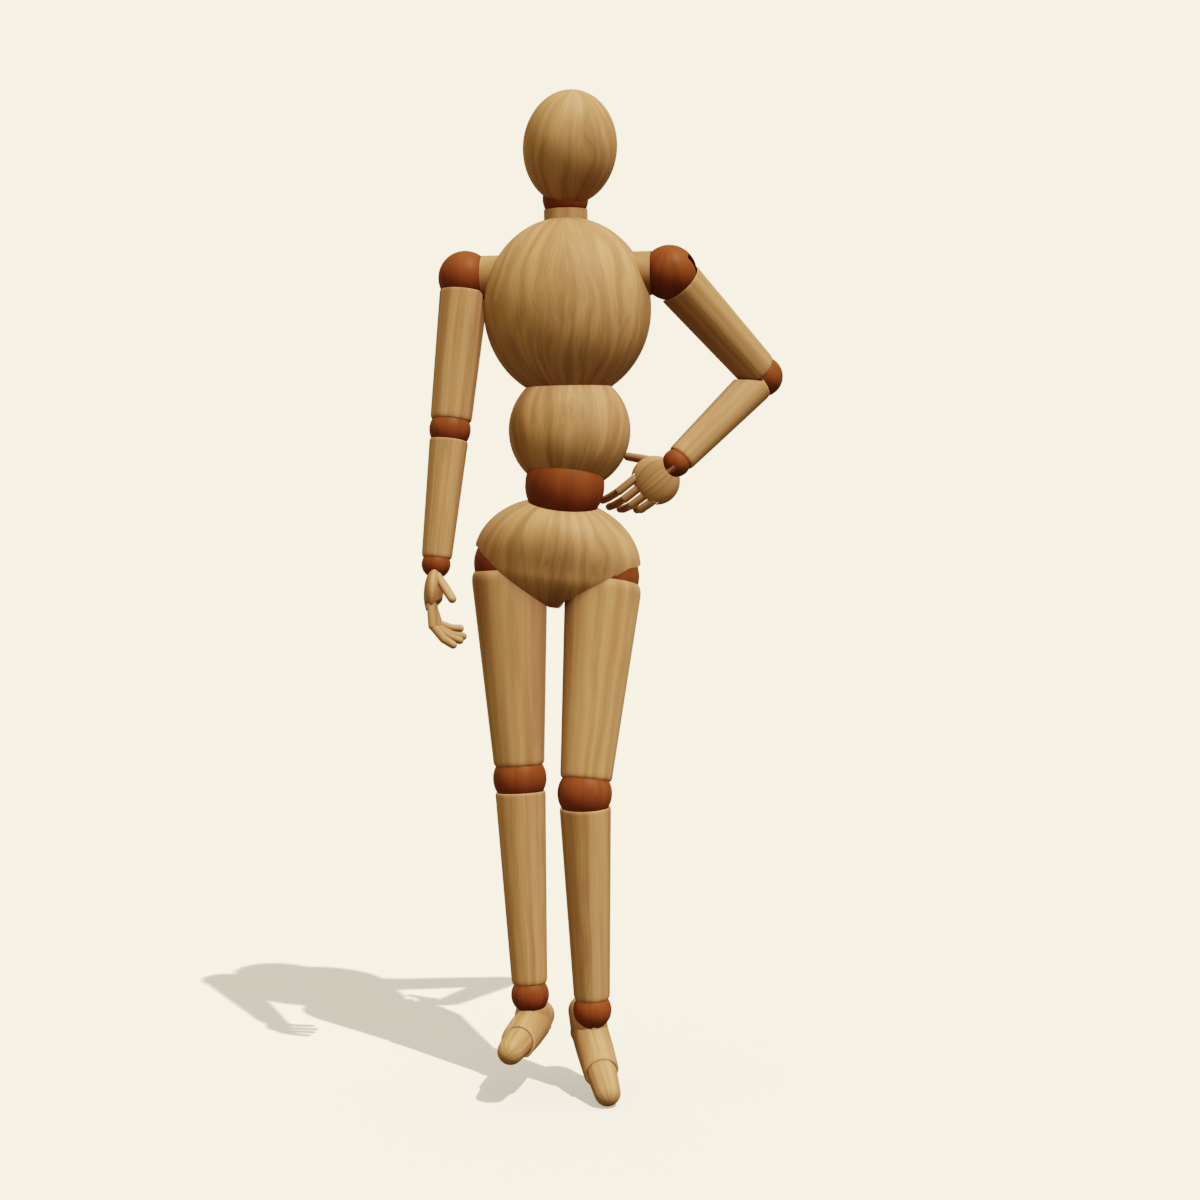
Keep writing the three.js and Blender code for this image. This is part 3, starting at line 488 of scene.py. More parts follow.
def linear(colour):
    """A colour written as sRGB hex, in the linear values that shaders take."""
    parts = [int(colour[i : i + 2], 16) / 255 for i in (1, 3, 5)]
    return (*[p / 12.92 if p <= 0.04045 else ((p + 0.055) / 1.055) ** 2.4 for p in parts], 1)


def new_material(name):
    material = bpy.data.materials.new(name)
    material.use_nodes = True
    return material, material.node_tree, material.node_tree.nodes["Principled BSDF"]


def add_node(tree, kind, inputs=None, **settings):
    """A node with its settings, its input values and the sockets that feed it."""
    node = tree.nodes.new(kind)
    for key, value in settings.items():
        setattr(node, key, value)
    for key, value in (inputs or {}).items():
        if isinstance(value, bpy.types.NodeSocket):
            tree.links.new(value, node.inputs[key])
        else:
            node.inputs[key].default_value = value
    return node


def set_stops(ramp, stops):
    """Gives a colour ramp its stops, each a position and a linear colour."""
    while len(ramp.elements) < len(stops):
        ramp.elements.new(0.5)
    for element, (position, colour) in zip(ramp.elements, stops):
        element.position = position
        element.color = colour


# How far apart in the wood two pieces can be cut, in millimetres, and how fast the streaks drift
# sideways, per millimetre round the piece and along it.
STOCK = 400.0
DRIFT = (0.07, 0.07, 0.04)

# Fine streaks between the broad ones: how many to a broad one, how many to its length, and their
# share in the colour.
FINE = {"across": 4, "along": 2, "share": 0.25}

# Thin veins where the broad streaks pass a level: the level and the vein's strength.
DARK_VEIN = (0.45, 0.45)
PALE_VEIN = (0.57, 0.5)
VEIN_WIDTH = 0.02


def wood(name, colours, spacing, length, waver, contrast, roughness, shine):
    """Turned and lacquered wood. Streaks of two widths run along the grain attribute's Z.

    colours are the dark, middle and pale streaks. spacing, length and waver are the width, length
    and sideways drift of a streak in millimetres. Each piece is cut from another place in the wood.
    """
    material, tree, shader = new_material(name)
    own = add_node(tree, "ShaderNodeAttribute", attribute_name="grain").outputs["Vector"]
    shift = add_node(tree, "ShaderNodeObjectInfo").outputs["Random"]
    apart = add_node(tree, "ShaderNodeMath", {0: shift, 1: STOCK}, operation="MULTIPLY")
    place = add_node(
        tree, "ShaderNodeVectorMath", {0: own, 1: apart.outputs[0]}, operation="ADD"
    ).outputs[0]
    slow = add_node(tree, "ShaderNodeVectorMath", {0: place, 1: DRIFT}, operation="MULTIPLY")
    noise = {"Vector": slow.outputs[0], "Scale": 1.0, "Detail": 1.0}
    drift = add_node(tree, "ShaderNodeTexNoise", noise).outputs["Color"]
    even = {0: drift, 1: (0.5, 0.5, 0.5)}
    drift = add_node(tree, "ShaderNodeVectorMath", even, operation="SUBTRACT").outputs[0]
    sideways = {0: drift, 1: (waver, waver, 0)}
    drift = add_node(tree, "ShaderNodeVectorMath", sideways, operation="MULTIPLY").outputs[0]
    place = add_node(
        tree, "ShaderNodeVectorMath", {0: place, 1: drift}, operation="ADD"
    ).outputs[0]

    def streaks(width, run, detail):
        drawn_out = {0: place, 1: (1 / width, 1 / width, 1 / run)}
        scaled = add_node(tree, "ShaderNodeVectorMath", drawn_out, operation="MULTIPLY")
        noise = {"Vector": scaled.outputs[0], "Scale": 1.0, "Detail": detail, "Roughness": 0.45}
        return add_node(tree, "ShaderNodeTexNoise", noise).outputs["Fac"]

    broad = streaks(spacing, length, 1.5)
    fine = streaks(spacing / FINE["across"], length / FINE["along"], 1.0)
    both = add_node(tree, "ShaderNodeMix", {0: FINE["share"], 2: broad, 3: fine}).outputs[0]
    dark, middle, pale = (linear(colour) for colour in colours)
    ramp = add_node(tree, "ShaderNodeValToRGB", {"Fac": both})
    set_stops(ramp.color_ramp, ((0.5 - contrast, dark), (0.5, middle), (0.5 + contrast, pale)))
    colour = ramp.outputs["Color"]

    for (height, strength), tint in ((DARK_VEIN, dark), (PALE_VEIN, pale)):
        above = add_node(tree, "ShaderNodeMath", {0: broad, 1: height}, operation="SUBTRACT")
        off = add_node(tree, "ShaderNodeMath", {0: above.outputs[0]}, operation="ABSOLUTE")
        fading = {"Value": off.outputs[0], "From Max": VEIN_WIDTH, "To Min": strength}
        vein = add_node(tree, "ShaderNodeMapRange", {**fading, "To Max": 0.0}).outputs[0]
        tinted = {0: vein, 6: colour, 7: tint}
        colour = add_node(tree, "ShaderNodeMix", tinted, data_type="RGBA").outputs[2]
    tree.links.new(colour, shader.inputs["Base Color"])
    shader.inputs["Roughness"].default_value = roughness
    shader.inputs["Specular IOR Level"].default_value = shine
    # Sanding leaves the hard streaks 0.1 mm or less above the soft ones, under the lacquer.
    bump = add_node(tree, "ShaderNodeBump", {"Strength": 0.1, "Distance": 0.0001, "Height": fine})
    tree.links.new(bump.outputs["Normal"], shader.inputs["Normal"])
    return material


def steel(name):
    material, _, shader = new_material(name)
    shader.inputs["Base Color"].default_value = linear("#b9bbbe")
    shader.inputs["Metallic"].default_value = 1
    shader.inputs["Roughness"].default_value = 0.3
    return material


# Maple, turned on a lathe, sanded fine and sprayed once with matt lacquer: pale, with straight soft
# streaks along each limb and hardly any sheen. Its rings lie about 3 mm apart. The fine streaks
# stand for rays and pores of 0.1 mm or less, drawn four to a ring so that they show.
MAPLE = wood(
    "maple",
    colours=("#c2966f", "#d3a780", "#deb28b"),
    spacing=3.0,
    length=170,
    waver=2,
    contrast=0.16,
    roughness=0.55,
    shine=0.15,
)

# The same maple in the thick stock of the trunk and head, with the same finish. It is cut across
# more of the rings, so the streaks are wider, about 4 mm, and waver more.
MAPLE_TRUNK = wood(
    "maple_trunk",
    colours=("#bf9570", "#d3a780", "#e1b38c"),
    spacing=4.2,
    length=110,
    waver=11,
    contrast=0.18,
    roughness=0.55,
    shine=0.15,
)

# The same wood turned to balls, soaked in red-brown stain and sprayed with satin lacquer. The stain
# evens the grain out, so the streaks are faint, and the sheen is a little stronger.
STAINED = wood(
    "stained_wood",
    colours=("#905636", "#9d5f3a", "#a4643e"),
    spacing=3.5,
    length=60,
    waver=5,
    contrast=0.22,
    roughness=0.5,
    shine=0.18,
)

# Drawn steel rod, cut off and left bright: grey and mirror-like, slightly dulled by handling.
STEEL = steel("bright_steel")

# A wooden piece's material, and the slot of the record that it stands for.
PALE_LIMB = (MAPLE, "maple")
PALE_TRUNK = (MAPLE_TRUNK, "maple")
BROWN = (STAINED, "stained_wood")

for node_name, node in frame["nodes"].items():
    node.data.materials.clear()
    if node_name.endswith(("_pin", "_rod")):
        node.data.materials.append(STEEL)
    elif node_name.endswith("_ball"):
        node.data.materials.append(STAINED)
    else:
        node.data.materials.append(MAPLE)


# Finishing.

SHARPEST_SMOOTH_EDGE = radians(32)

# How near the axis, in millimetres, the grain still has a direction.
NEAREST_AXIS = 0.3


def finish_piece(piece, node, matrix, finish, body=None, girth=9, up="Z"):
    """Names and dresses a piece, carries it to its place and hands it to its CAD body.

    The grain runs from pole to pole of the turned form, along the axis named up: each point is
    carried out or in to one girth, in millimetres, so the streaks close up where the piece narrows.
    """
    material, slot = finish
    piece.name = f"{node}_piece"
    mesh = piece.data
    mesh.name = piece.name
    own = mesh.attributes.new("grain", "FLOAT_VECTOR", "POINT")
    for vertex in mesh.vertices:
        x, y, z = vertex.co
        if up == "Y":
            x, y, z = x, z, y
        reach = max(hypot(x, y), NEAREST_AXIS)
        own.data[vertex.index].vector = (x / reach * girth, y / reach * girth, z)
    mesh.transform(matrix)
    bm = bmesh.new()
    bm.from_mesh(mesh)
    bmesh.ops.recalc_face_normals(bm, faces=bm.faces)
    for face in bm.faces:
        face.smooth = True
    for edge in bm.edges:
        edge.smooth = len(edge.link_faces) == 2 and edge.calc_face_angle(0) < SHARPEST_SMOOTH_EDGE
    bm.to_mesh(mesh)
    bm.free()
    mesh.materials.clear()
    mesh.materials.append(material)
    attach(piece, body or node)
    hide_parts(node)


# Trunk.


def build_trunk():
    hips = (point("left_hip_swing") + point("right_hip_swing")) / 2
    waist, torso, neck = point("waist_turn"), point("torso_bend"), point("neck_turn")
    waist_up = (waist - hips).length / MM
    stomach_up = (torso - waist).length / MM
    neck_up = (neck - torso).length / MM
    swing_pin = axis("waist_bend")
    build_pelvis(placed(hips, ACROSS_HIPS, waist, (0, waist_up)), waist_up)
    build_waist_ball(placed(waist, swing_pin, hips, (0, -waist_up)))
    build_stomach(placed(torso, swing_pin, waist, (0, -stomach_up)), stomach_up)
    build_chest(placed(torso, ACROSS_SHOULDERS, neck, (0, neck_up)), neck_up)
    build_head(neck)
    neck_ball = moved(ball_with_spigot(BALLS["neck"]), ("X", 180))
    place = placed(neck, axis("head_nod"), torso, (0, -neck_up))
    finish_piece(neck_ball, "neck_ball", place, BROWN)


def build_pelvis(place, waist_up):
    half = Vector(PELVIS["half"])
    body = sphere(1)
    for vertex in body.data.vertices:
        if vertex.co.z < 0:
            vertex.co.z *= PELVIS["depth_below"] / half.z
        elif vertex.co.y < 0:
            vertex.co.y *= 1 + PELVIS["fuller_front"] * vertex.co.z**1.5
    stretch = Matrix.Diagonal((*half, 1))
    body.data.transform(Matrix.Translation((0, 0, PELVIS["rise"])) @ stretch)
    cut(body, moved(sphere(cup_of(BALLS["waist"])), (0, 0, waist_up)))
    cut(body, rod(BALLS["waist"]["spigot"][0] + GAP, waist_up - WAIST_BORE_DEPTH, waist_up))
    for name, side in SIDES:
        cut(body, *leg_rooms(name, side))
    cut(body, moved(stand_socket(), ("X", -90), (0, 0, STAND_BORE["up"])))
    cut(body, moved(rod(HIP_ROD["radius"] + GAP, -HIP_OUT, HIP_OUT), ("Y", 90)))
    finish_piece(body, "pelvis", place, PALE_TRUNK, girth=PELVIS["girth"])


def leg_rooms(name, side):
    """Cuts in the pelvis for a leg: a pocket, the hip ball's cup and the travel of the thigh."""
    hip = (side * HIP_OUT, 0, 0)
    pocket = hypot(THIGH["top"], THIGH_TOP["rim"]) + PASSING_ROOM
    angle = degrees(acos(HIP_POCKET_TOP / pocket))
    rooms = [
        moved(revolve([*arc(pocket, 180, angle), (0, HIP_POCKET_TOP)]), hip),
        moved(sphere(cup_of(BALLS["hip"])), hip),
    ]
    leans = (0, HIP_IN[name]) if name == "right" else (HIP_IN[name],)
    back, ahead = HIP_SWING
    for i in range(HIP_SWING_STEPS):
        swing = back + (ahead - back) * i / (HIP_SWING_STEPS - 1)
        for inward in leans:
            wider = WIDER_EACH_STEP * (HIP_SWING_STEPS - i) + (WIDER_INWARDS if inward else 0)
            radius = THIGH["top"] + SWING_ROOM + wider
            room = rod(radius, DOWN_THE_THIGH, GAP - THIGH_TOP["rim"], ROUND)
            rooms.append(moved(room, ("Y", side * inward), ("X", swing), hip))
    return rooms


def stand_socket():
    """The bore for a stand's rod, with the flat seat round its mouth."""
    bore, mouth = STAND_BORE, STAND_BORE["out"]
    return revolve(
        [
            (0, mouth - bore["depth"]),
            (bore["radius"], mouth - bore["depth"]),
            (bore["radius"], mouth),
            (bore["seat_radius"], mouth),
            (bore["seat_radius"], OUTSIDE_PELVIS),
            (0, OUTSIDE_PELVIS),
        ]
    )


def build_waist_ball(place):
    """The waist ball has its spigot down and its slot up, and the waist pin crosses it."""
    joint = BALLS["waist"]
    radius, reach = joint["spigot"]
    angle = degrees(asin(radius / joint["ball"]))
    bottom = -joint["ball"] - reach
    ball = revolve([(0, bottom), (radius, bottom), *arc(joint["ball"], 180 - angle, 0)])
    pin_bore = moved(rod(WAIST_PIN_BORE, -THROUGH, THROUGH), ("Y", 90))
    cut(ball, moved(slot_for(joint), ("X", 180)), pin_bore)
    finish_piece(ball, "waist_ball", place, BROWN)


def build_stomach(place, stomach_up):
    joint = BALLS["waist"]
    plug_bore = TORSO_PLUG["radius"] + SEAM
    stomach = cut(
        sphere(STOMACH_RADIUS),
        moved(sphere(cup_of(joint)), (0, 0, -stomach_up)),
        rod(plug_bore, TORSO_PLUG["bore_floor"], STOMACH_RADIUS + 1, ROUND),
    )
    join(stomach, moved(tongue_of(joint), ("X", 180), (0, 0, -stomach_up)))
    finish_piece(stomach, "stomach", place, PALE_TRUNK, girth=STOMACH_RADIUS)


def build_chest(place, neck_up):
    centre, half_height = CHEST["centre"], CHEST["half_height"]
    shoulders = (point("right_shoulder_swing") + point("left_shoulder_swing")) / 2
    shoulder_up = (place.inverted() @ shoulders).z
    body = revolve(egg(CHEST["radius"], half_height, centre))
    cut(body, sphere(STOMACH_RADIUS + SEAM))
    cut(body, rod(CHEST_POST["radius"] + GAP, 0, STOMACH_RADIUS + CHEST_POST["length"] + 1))
    dowel_floor = neck_up - BALLS["neck"]["ball"] - NECK["dowel_length"] - GAP
    cut(body, rod(NECK["dowel"] + DOWEL_ROOM, dowel_floor, centre + half_height + 1))
    peg_floor = SHOULDER_OUT - BALLS["shoulder"]["ball"] - SHOULDER_PEG["length"]
    for _, side in SIDES:
        bore = rod(SHOULDER_PEG["radius"] + DOWEL_ROOM, peg_floor - GAP, PAST_CHEST, ROUND)
        cut(body, moved(bore, ("Y", 90 * side), (0, 0, shoulder_up)))
    finish_piece(body, "chest", place, PALE_TRUNK, girth=CHEST["radius"])

    for name, side in SIDES:
        radius = SHOULDER_PEG["radius"]
        cup = cup_of(BALLS["shoulder"])
        rim = rim_height(cup, radius, SHOULDER_PEG["lip"])
        peg = revolve(
            [
                (0, peg_floor),
                (radius, peg_floor),
                (radius, SHOULDER_OUT - rim),
                *arc(cup, 180 - degrees(acos(rim / cup)), 180, SHOULDER_OUT),
            ]
        )
        moved(peg, ("Y", 90 * side), (0, 0, shoulder_up))
        finish_piece(peg, f"{name}_shoulder_peg", place, PALE_LIMB, body="chest")

    radius, dowel = NECK["radius"], NECK["dowel"]
    foot = -BALLS["neck"]["ball"] - NECK["dowel_length"]
    cup = cup_of(BALLS["neck"])
    rim = rim_height(cup, radius, NECK["lip"])
    seat = centre + half_height * sqrt(1 - (radius / CHEST["radius"]) ** 2) - neck_up
    crown = centre + half_height - neck_up + NECK["above_chest"]
    collar = revolve(
        [
            (0, foot),
            (dowel, foot),
            (dowel, crown),
            (radius, seat + NECK["above_chest"]),
            (radius, -rim),
            *arc(cup, 180 - degrees(acos(rim / cup)), 180),
        ]
    )
    finish_piece(moved(collar, (0, 0, neck_up)), "neck", place, PALE_LIMB, body="chest")


def build_head(neck):
    joint = BALLS["neck"]
    head = revolve(egg(HEAD["radius"], HEAD["half_height"], HEAD["above_neck"]))
    cut(head, sphere(cup_of(joint)))
    join(head, moved(tongue_of(joint), ("X", 180)))
    top = HEAD["above_neck"] + HEAD["half_height"]
    place = placed(neck, axis("head_nod"), farthest("head", neck), (0, top))
    finish_piece(head, "head", place, PALE_TRUNK, girth=HEAD["radius"])


# Arms.


def relief_of_arm(side):
    """Cuts in the upper arm that clear the chest and the shoulder peg when the arm hangs."""
    chest = revolve(egg(CHEST["radius"] + PASSING_ROOM, CHEST["half_height"] + PASSING_ROOM))
    moved(chest, (-side * SHOULDER_OUT, 0, -SHOULDER_UP), ("Y", side * HANGING_ARM))
    rim = rim_height(cup_of(BALLS["shoulder"]), SHOULDER_PEG["radius"], SHOULDER_PEG["lip"])
    peg = rod(SHOULDER_PEG["radius"] + PASSING_ROOM, rim - GAP, PAST_SHOULDER, ROUND)
    return chest, moved(peg, ("Y", -90 * side), ("Y", side * HANGING_ARM))


def build_arm(name, side):
    """An arm, from the shoulder ball to the wrist ball.

    The upper arm's own X is square to its length and to the pin that it is raised on.
    """
    shoulder = point(f"{name}_shoulder_swing")
    elbow, wrist = point(f"{name}_elbow_turn"), point(f"{name}_wrist_turn")
    upper_length = (elbow - shoulder).length / MM
    fore_length = (wrist - elbow).length / MM
    across = ACROSS_SHOULDERS.normalized()
    raise_pin = axis(f"{name}_shoulder_raise")
    arm_x = square_to(raise_pin, shoulder - elbow, across)

    joint = BALLS["shoulder"]
    arm = revolve(limb_profile(UPPER_ARM, joint, BALLS["elbow"], upper_length))
    join(arm, moved(tongue_of(joint), ("Z", -90 * side)))
    cut(arm, *relief_of_arm(side))
    place = placed(shoulder, arm_x, elbow, (0, -upper_length))
    finish_piece(arm, f"{name}_upper_arm", place, PALE_LIMB)

    ball = cut(sphere(joint["ball"]), moved(slot_for(joint), ("Z", -90 * side)))
    radius, reach = joint["spigot"]
    spigot = moved(rod(radius, 0, joint["ball"] + reach), ("Y", -90 * side))
    join(ball, cut(spigot, sphere(joint["ball"] - 1)))
    ball_z = square_to(raise_pin, across, shoulder - elbow)
    place = placed(shoulder, across, shoulder + ball_z, (0, 1))
    finish_piece(ball, f"{name}_shoulder_ball", place, BROWN)

    elbow_pin = axis(f"{name}_elbow_bend")
    place = placed(elbow, elbow_pin, shoulder, (0, upper_length))
    finish_piece(ball_with_spigot(BALLS["elbow"]), f"{name}_elbow_ball", place, BROWN)

    forearm = revolve(limb_profile(FOREARM, BALLS["elbow"], BALLS["wrist"], fore_length))
    cut(forearm, *fold_relief(UPPER_ARM, BALLS["elbow"], ELBOW_FOLD))
    join(forearm, tongue_of(BALLS["elbow"]))
    place = placed(elbow, elbow_pin, wrist, (0, -fore_length))
    finish_piece(forearm, f"{name}_forearm", place, PALE_LIMB)

    place = placed(wrist, axis(f"{name}_wrist_bend"), elbow, (0, fore_length))
    finish_piece(ball_with_spigot(BALLS["wrist"]), f"{name}_wrist_ball", place, BROWN)


# Hands.


def finger_sweep():
    """The room that the fingers sweep outside the barrel of the knuckle line."""
    low, high, steps = FINGER_SWEEP["from"], FINGER_SWEEP["to"], FINGER_SWEEP["steps"]
    angles = [radians(low + (high - low) * i / steps) for i in range(steps + 1)]
    ways = [(sin(a), -cos(a)) for a in angles]
    outer = [(y * FINGER_SWEEP["radius"], z * FINGER_SWEEP["radius"]) for y, z in ways]
    inner = [(y * KNUCKLE["radius"], z * KNUCKLE["radius"]) for y, z in reversed(ways)]
    return moved(plate(outer + inner, 2 * THROUGH), (0, 0, -KNUCKLE["down"]))


def build_hand(name, side):
    wrist = point(f"{name}_wrist_bend")
    knuckle = point(f"{name}_index_knuckle")
    place = placed(wrist, axis(f"{name}_wrist_bend"), knuckle, (0, -KNUCKLE["down"]))
    palm = sphere(1)
    stretch = Matrix.Diagonal((*PALM["half"], 1))
    palm.data.transform(Matrix.Translation((0, 0, -PALM["reach"])) @ stretch)
    above_wrist = block((-THROUGH, -THROUGH, -PALM["wrist_cut"]), (THROUGH, THROUGH, THROUGH))
    cut(palm, above_wrist, sphere(cup_of(BALLS["wrist"])))
    join(palm, tongue_of(BALLS["wrist"]))
    rooms = [finger_sweep()]
    for finger in FINGERS.values():
        half_width = KNUCKLE["half_width"]
        room = moved(rod(KNUCKLE["radius"] + KNUCKLE_ROOM, -half_width, half_width), ("Y", 90))
        rooms.append(moved(room, (side * finger["out"], 0, -KNUCKLE["down"])))
    cut(palm, *rooms)
    finish_piece(palm, f"{name}_palm", place, PALE_LIMB)

    for finger in FINGERS:
        build_finger(name, finger)
    node = f"{name}_thumb"
    base = point(f"{name}_thumb_bend")
    radius, length = FINGER_RADIUS, THUMB["length"]
    place = placed(base, axis(f"{name}_thumb_bend"), farthest(node, base), (0, -length))
    profile = [
        *arc(radius, 0, 90, 0, FINGER_STEP),
        (radius * THUMB["swell"], -length / 2),
        *arc(radius, 90, 180, -length, FINGER_STEP),
    ]
    finish_piece(revolve(profile, FINE_ROUND), node, place, PALE_LIMB, girth=FINGER_GIRTH)


def build_finger(name, finger):
    """A finger: its first bone, and the bent end that swings on it."""
    base, middle = point(f"{name}_{finger}_knuckle"), point(f"{name}_{finger}_joint")
    length = (middle - base).length / MM
    place = placed(base, axis(f"{name}_{finger}_knuckle"), middle, (0, -length))
    first = revolve(bone(FINGER_RADIUS, length), FINE_ROUND)
    finish_piece(first, f"{name}_{finger}_finger", place, PALE_LIMB, girth=FINGER_GIRTH)

    node = f"{name}_{finger}_fingertip"
    reach, tip = FINGERS[finger]["middle"], FINGERS[finger]["tip"]
    end = (-sin(radians(TIP_BEND)) * tip, -reach - cos(radians(TIP_BEND)) * tip)
    place = placed(middle, axis(f"{name}_{finger}_joint"), farthest(node, middle), end)
    radius = FINGER_RADIUS - SECOND_BONE_SLIMMER
    folded = [
        moved(rod(FINGER_RADIUS + FINGER_ROOM, 0, FINGER_FOLD_LENGTH), ("X", FINGER_FOLD * share))
        for share in FINGER_FOLD_STEPS
    ]
    second = revolve(bone(radius, reach), FINE_ROUND)
    cut(second, sphere(FINGER_RADIUS + KNUCKLE_ROOM, FINE_ROUND), *folded)
    last = revolve(bone(radius, tip, radius - TIP_SLIMMER), FINE_ROUND)
    join(second, moved(last, ("X", -TIP_BEND), (0, 0, -reach)))
    finish_piece(second, node, place, PALE_LIMB, girth=FINGER_GIRTH)


# Legs.


def build_leg(name, side):
    """A leg, from the hip ball to the toes.

    The thigh's own X is square to its length and to the pin that it is spread on.
    """
    hip = point(f"{name}_hip_swing")
    knee, ankle = point(f"{name}_knee_turn"), point(f"{name}_ankle_turn")
    thigh_length = (knee - hip).length / MM
    shin_length = (ankle - knee).length / MM
    across = ACROSS_HIPS.normalized()
    spread_pin = axis(f"{name}_hip_spread")
    thigh_x = square_to(spread_pin, hip - knee, across)

    joint = BALLS["hip"]
    top = THIGH_TOP
    centre, corner = (0, -top["rim"]), (THIGH["top"], -top["rim"])
    profile = [
        centre,
        *rounded(corner, centre, top["side"], top["round_in"], top["round_down"]),
        *lower_end(THIGH, BALLS["knee"], thigh_length),
    ]
    thigh = cut(revolve(profile), sphere(cup_of(joint)))
    join(thigh, moved(tongue_of(joint, bite=1.5), ("Z", -90 * side)))
    for share in (0, 0.5, 1):
        notch = rod(HIP_ROD["radius"] + 2 * GAP, *HIP_ROD["notch"])
        cut(thigh, moved(notch, ("Y", -90 * side), ("Y", -side * HIP_IN["right"] * share)))
    place = placed(hip, thigh_x, knee, (0, -thigh_length))
    finish_piece(thigh, f"{name}_thigh", place, PALE_LIMB)

    ball = cut(sphere(joint["ball"]), moved(slot_for(joint), ("Z", -90 * side)))
    bite = joint["ball"] - HIP_ROD["bite"] - GAP
    cut(ball, moved(rod(HIP_ROD["radius"] + GAP, bite, PAST_HIP_BALL), ("Y", -90 * side)))
    ball_z = square_to(spread_pin, across, hip - knee)
    place = placed(hip, across, hip + ball_z, (0, 1))
    finish_piece(ball, f"{name}_hip_ball", place, BROWN)

    knee_pin = axis(f"{name}_knee_bend")
    place = placed(knee, knee_pin, hip, (0, thigh_length))
    finish_piece(ball_with_spigot(BALLS["knee"]), f"{name}_knee_ball", place, BROWN)

    shin = revolve(limb_profile(SHIN, BALLS["knee"], BALLS["ankle"], shin_length))
    cut(shin, *fold_relief(THIGH, BALLS["knee"], KNEE_FOLD))
    join(shin, tongue_of(BALLS["knee"]))
    place = placed(knee, knee_pin, ankle, (0, -shin_length))
    finish_piece(shin, f"{name}_shin", place, PALE_LIMB)

    place = placed(ankle, axis(f"{name}_ankle_bend"), knee, (0, shin_length))
    finish_piece(ball_with_spigot(BALLS["ankle"]), f"{name}_ankle_ball", place, BROWN)
    build_foot(name, ankle)


def build_foot(name, ankle):
    """A foot and its toes. The foot's bar is turned along Z and laid with its front towards -Y."""
    toe = point(f"{name}_toe_bend")
    down, ahead = FOOT["down"], TOES["ahead"]
    front = -ahead - FOOT_FRONT["end"]
    profile = [
        *((r, FOOT["heel_back"] + z) for r, z in arc(FOOT["heel"], 0, 90, 0, HEEL_STEP)),
        (FOOT["middle"], 0),
        (FOOT["middle"], -FOOT["straight"]),
        (FOOT_FRONT["at_toes"], -ahead),
        (FOOT_FRONT["end"], front),
        (0, front),
    ]
    body = revolve(profile)
    laid = Matrix.Scale(-1, 4, (0, 1, 0)) @ Matrix.Rotation(radians(90), 4, "X")
    body.data.transform(Matrix.Translation((0, 0, -down)) @ laid)
    join(body, revolve(INSTEP))
    sole = -down - FOOT["sole"]
    cut(body, block((-20, -50, sole - 20), (20, 40, sole)))
    behind, lift = FOOT_EDGE_PLACE
    edge = revolve([(0, 0), *FOOT_EDGE, (0, FOOT_EDGE[-1][1])])
    moved(edge, ("X", -90 - FOOT_EDGE_LEAN), (0, behind - ahead, lift - down))
    combine(body, edge, "INTERSECT")
    toe_cup = moved(sphere(TOES["ball"] + SEAM), (0, -ahead, -down))
    cut(body, toe_cup, sphere(cup_of(BALLS["ankle"])))
    join(body, tongue_of(BALLS["ankle"]))
    place = placed(ankle, axis(f"{name}_ankle_bend"), toe, (-ahead, -down))
    finish_piece(body, f"{name}_foot", place, PALE_LIMB, up="Y")

    node = f"{name}_toes"
    end = (-TOES["tip_ahead"] - TOES["tip"], 0)
    place = placed(toe, axis(f"{name}_toe_bend"), farthest(node, toe), end)
    tip = arc(TOES["tip"], 180, TIP_SIDE, -TOES["tip_ahead"])
    toes = moved(revolve([*tip, *arc(TOES["ball"], BALL_SIDE, 0)]), ("X", -90))
    sole = TOES["sole_lift"] - FOOT["sole"]
    cut(toes, block((-20, -30, sole - 20), (20, 20, sole)))
    finish_piece(toes, node, place, PALE_LIMB, up="Y")


build_trunk()
for side_name, side_sign in SIDES:
    build_arm(side_name, side_sign)
    build_hand(side_name, side_sign)
    build_leg(side_name, side_sign)


# Room, light and camera. Sizes are in metres from here on.

# Matt studio paper, pale cream all over with no sheen, and the light behind it before the tone
# curve, which only the camera sees.
PAPER = linear("#cfcac1")
BACKDROP = (0.957, 0.890, 0.745, 1)
FLOOR_HEIGHT = size_at_load[0].z
TOWARDS_KEY = Vector((0.40, -0.50, 1.0)).normalized()

# Each lamp's strength and the angle that it fills: a wide one for the figure and a small one for
# the floor's shadow.
KEY = {"energy": 1.73, "width": 22}
SHADOW_LAMP = {"energy": 2.76, "width": 0.6}

# The fill from straight below and from straight above.
FILL = ((0.0, (0.05, 0.047, 0.035, 1)), (1.0, (0.40, 0.372, 0.23, 1)))

# A film's answer to light: soft in the darks, slower in the brights.
TONES = (
    (0.025, 0.0139),
    (0.05, 0.0425),
    (0.1, 0.1232),
    (0.2, 0.2985),
    (0.3, 0.44),
    (0.4, 0.5433),
    (0.55, 0.66),
    (0.8, 0.82),
)
WHITEST = 0.95

# The photo's view: from in front, a little above the hips, tilted down by a few degrees. The lens
# and the sensor are in millimetres.
CAMERA = {"place": (0.012994, -0.80746, 0.022376), "down": 3.26, "lens": 60, "sensor": 36}


def build_room():
    """A wide floor of studio paper. It gives no light back, so the undersides stay dark."""
    floor = block((-40, -40, FLOOR_HEIGHT - 0.01), (40, 40, FLOOR_HEIGHT))
    floor.name = "floor"
    material, tree, shader = new_material("cream_paper")
    tree.nodes.remove(shader)
    matt = add_node(tree, "ShaderNodeBsdfDiffuse", {"Color": PAPER})
    tree.links.new(matt.outputs["BSDF"], tree.nodes["Material Output"].inputs["Surface"])
    floor.data.materials.append(material)
    floor.visible_diffuse = False
    floor.visible_glossy = False
    return floor


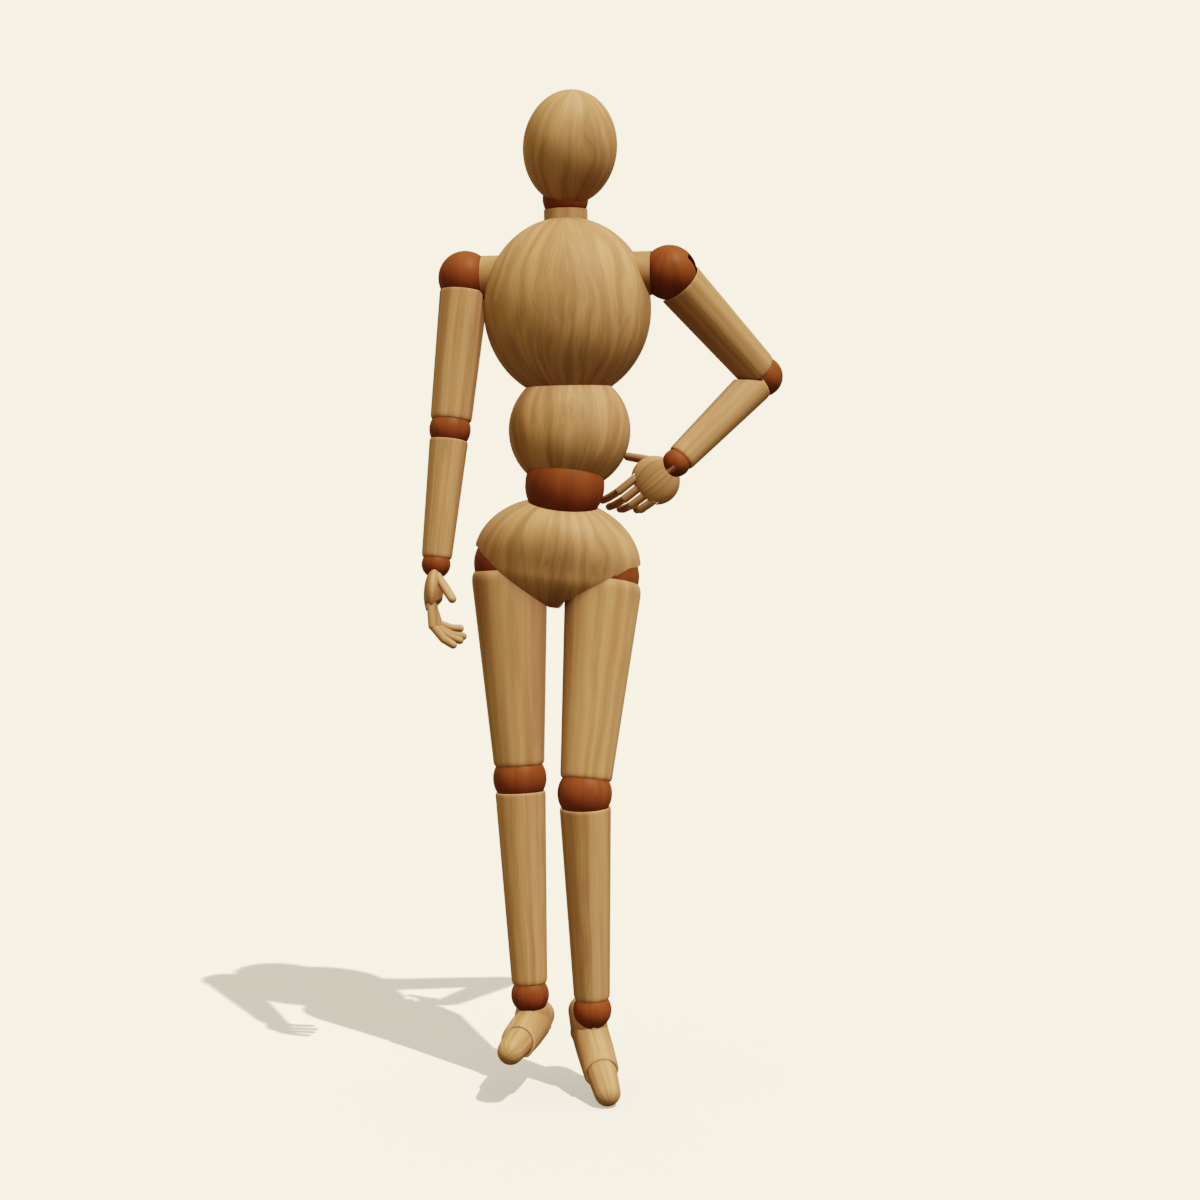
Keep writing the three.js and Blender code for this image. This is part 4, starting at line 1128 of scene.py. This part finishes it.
def sun(name, energy, width, shadow):
    """A distant lamp, high on the right."""
    data = bpy.data.lights.new(name, "SUN")
    data.energy = energy
    data.angle = radians(width)
    data.use_shadow = shadow
    data.cycles.max_bounces = 0
    lamp = bpy.data.objects.new(name, data)
    lamp.rotation_euler = TOWARDS_KEY.to_track_quat("Z", "Y").to_euler()
    bpy.context.scene.collection.objects.link(lamp)
    return lamp


def build_light(floor):
    """The key and a dim warm fill. A lamp for the floor alone draws the shadow there."""
    sun("key", **KEY, shadow=False)
    ground = bpy.data.collections.new("lit_by_shadow_lamp")
    ground.objects.link(floor)
    shadow_lamp = sun("shadow_lamp", **SHADOW_LAMP, shadow=True)
    shadow_lamp.light_linking.receiver_collection = ground
    world = bpy.data.worlds.new("studio")
    world.use_nodes = True
    tree = world.node_tree
    way = add_node(tree, "ShaderNodeTexCoord").outputs["Generated"]
    up = add_node(tree, "ShaderNodeSeparateXYZ", {"Vector": way}).outputs["Z"]
    height = {"Value": up, "From Min": -1.0, "From Max": 1.0}
    amount = add_node(tree, "ShaderNodeMapRange", height).outputs[0]
    fill = add_node(tree, "ShaderNodeValToRGB", {"Fac": amount})
    set_stops(fill.color_ramp, FILL)
    seen = add_node(tree, "ShaderNodeLightPath").outputs["Is Camera Ray"]
    shown = {0: seen, 6: fill.outputs["Color"], 7: BACKDROP}
    colour = add_node(tree, "ShaderNodeMix", shown, data_type="RGBA").outputs[2]
    tree.links.new(colour, tree.nodes["Background"].inputs["Color"])
    bpy.context.scene.world = world


def build_tones():
    look = bpy.context.scene.view_settings
    look.view_transform = "Standard"
    look.use_curve_mapping = True
    curve = look.curve_mapping.curves[3]
    curve.points[-1].location = (1, WHITEST)
    for light, tone in TONES:
        curve.points.new(light, tone)
    look.curve_mapping.update()


def build_camera():
    data = bpy.data.cameras.new("camera")
    data.sensor_width = CAMERA["sensor"]
    data.lens = CAMERA["lens"]
    camera = bpy.data.objects.new("camera", data)
    camera.location = CAMERA["place"]
    camera.rotation_euler = (radians(90 - CAMERA["down"]), 0, 0)
    bpy.context.scene.collection.objects.link(camera)
    bpy.context.scene.camera = camera


build_light(build_room())
build_tones()
build_camera()
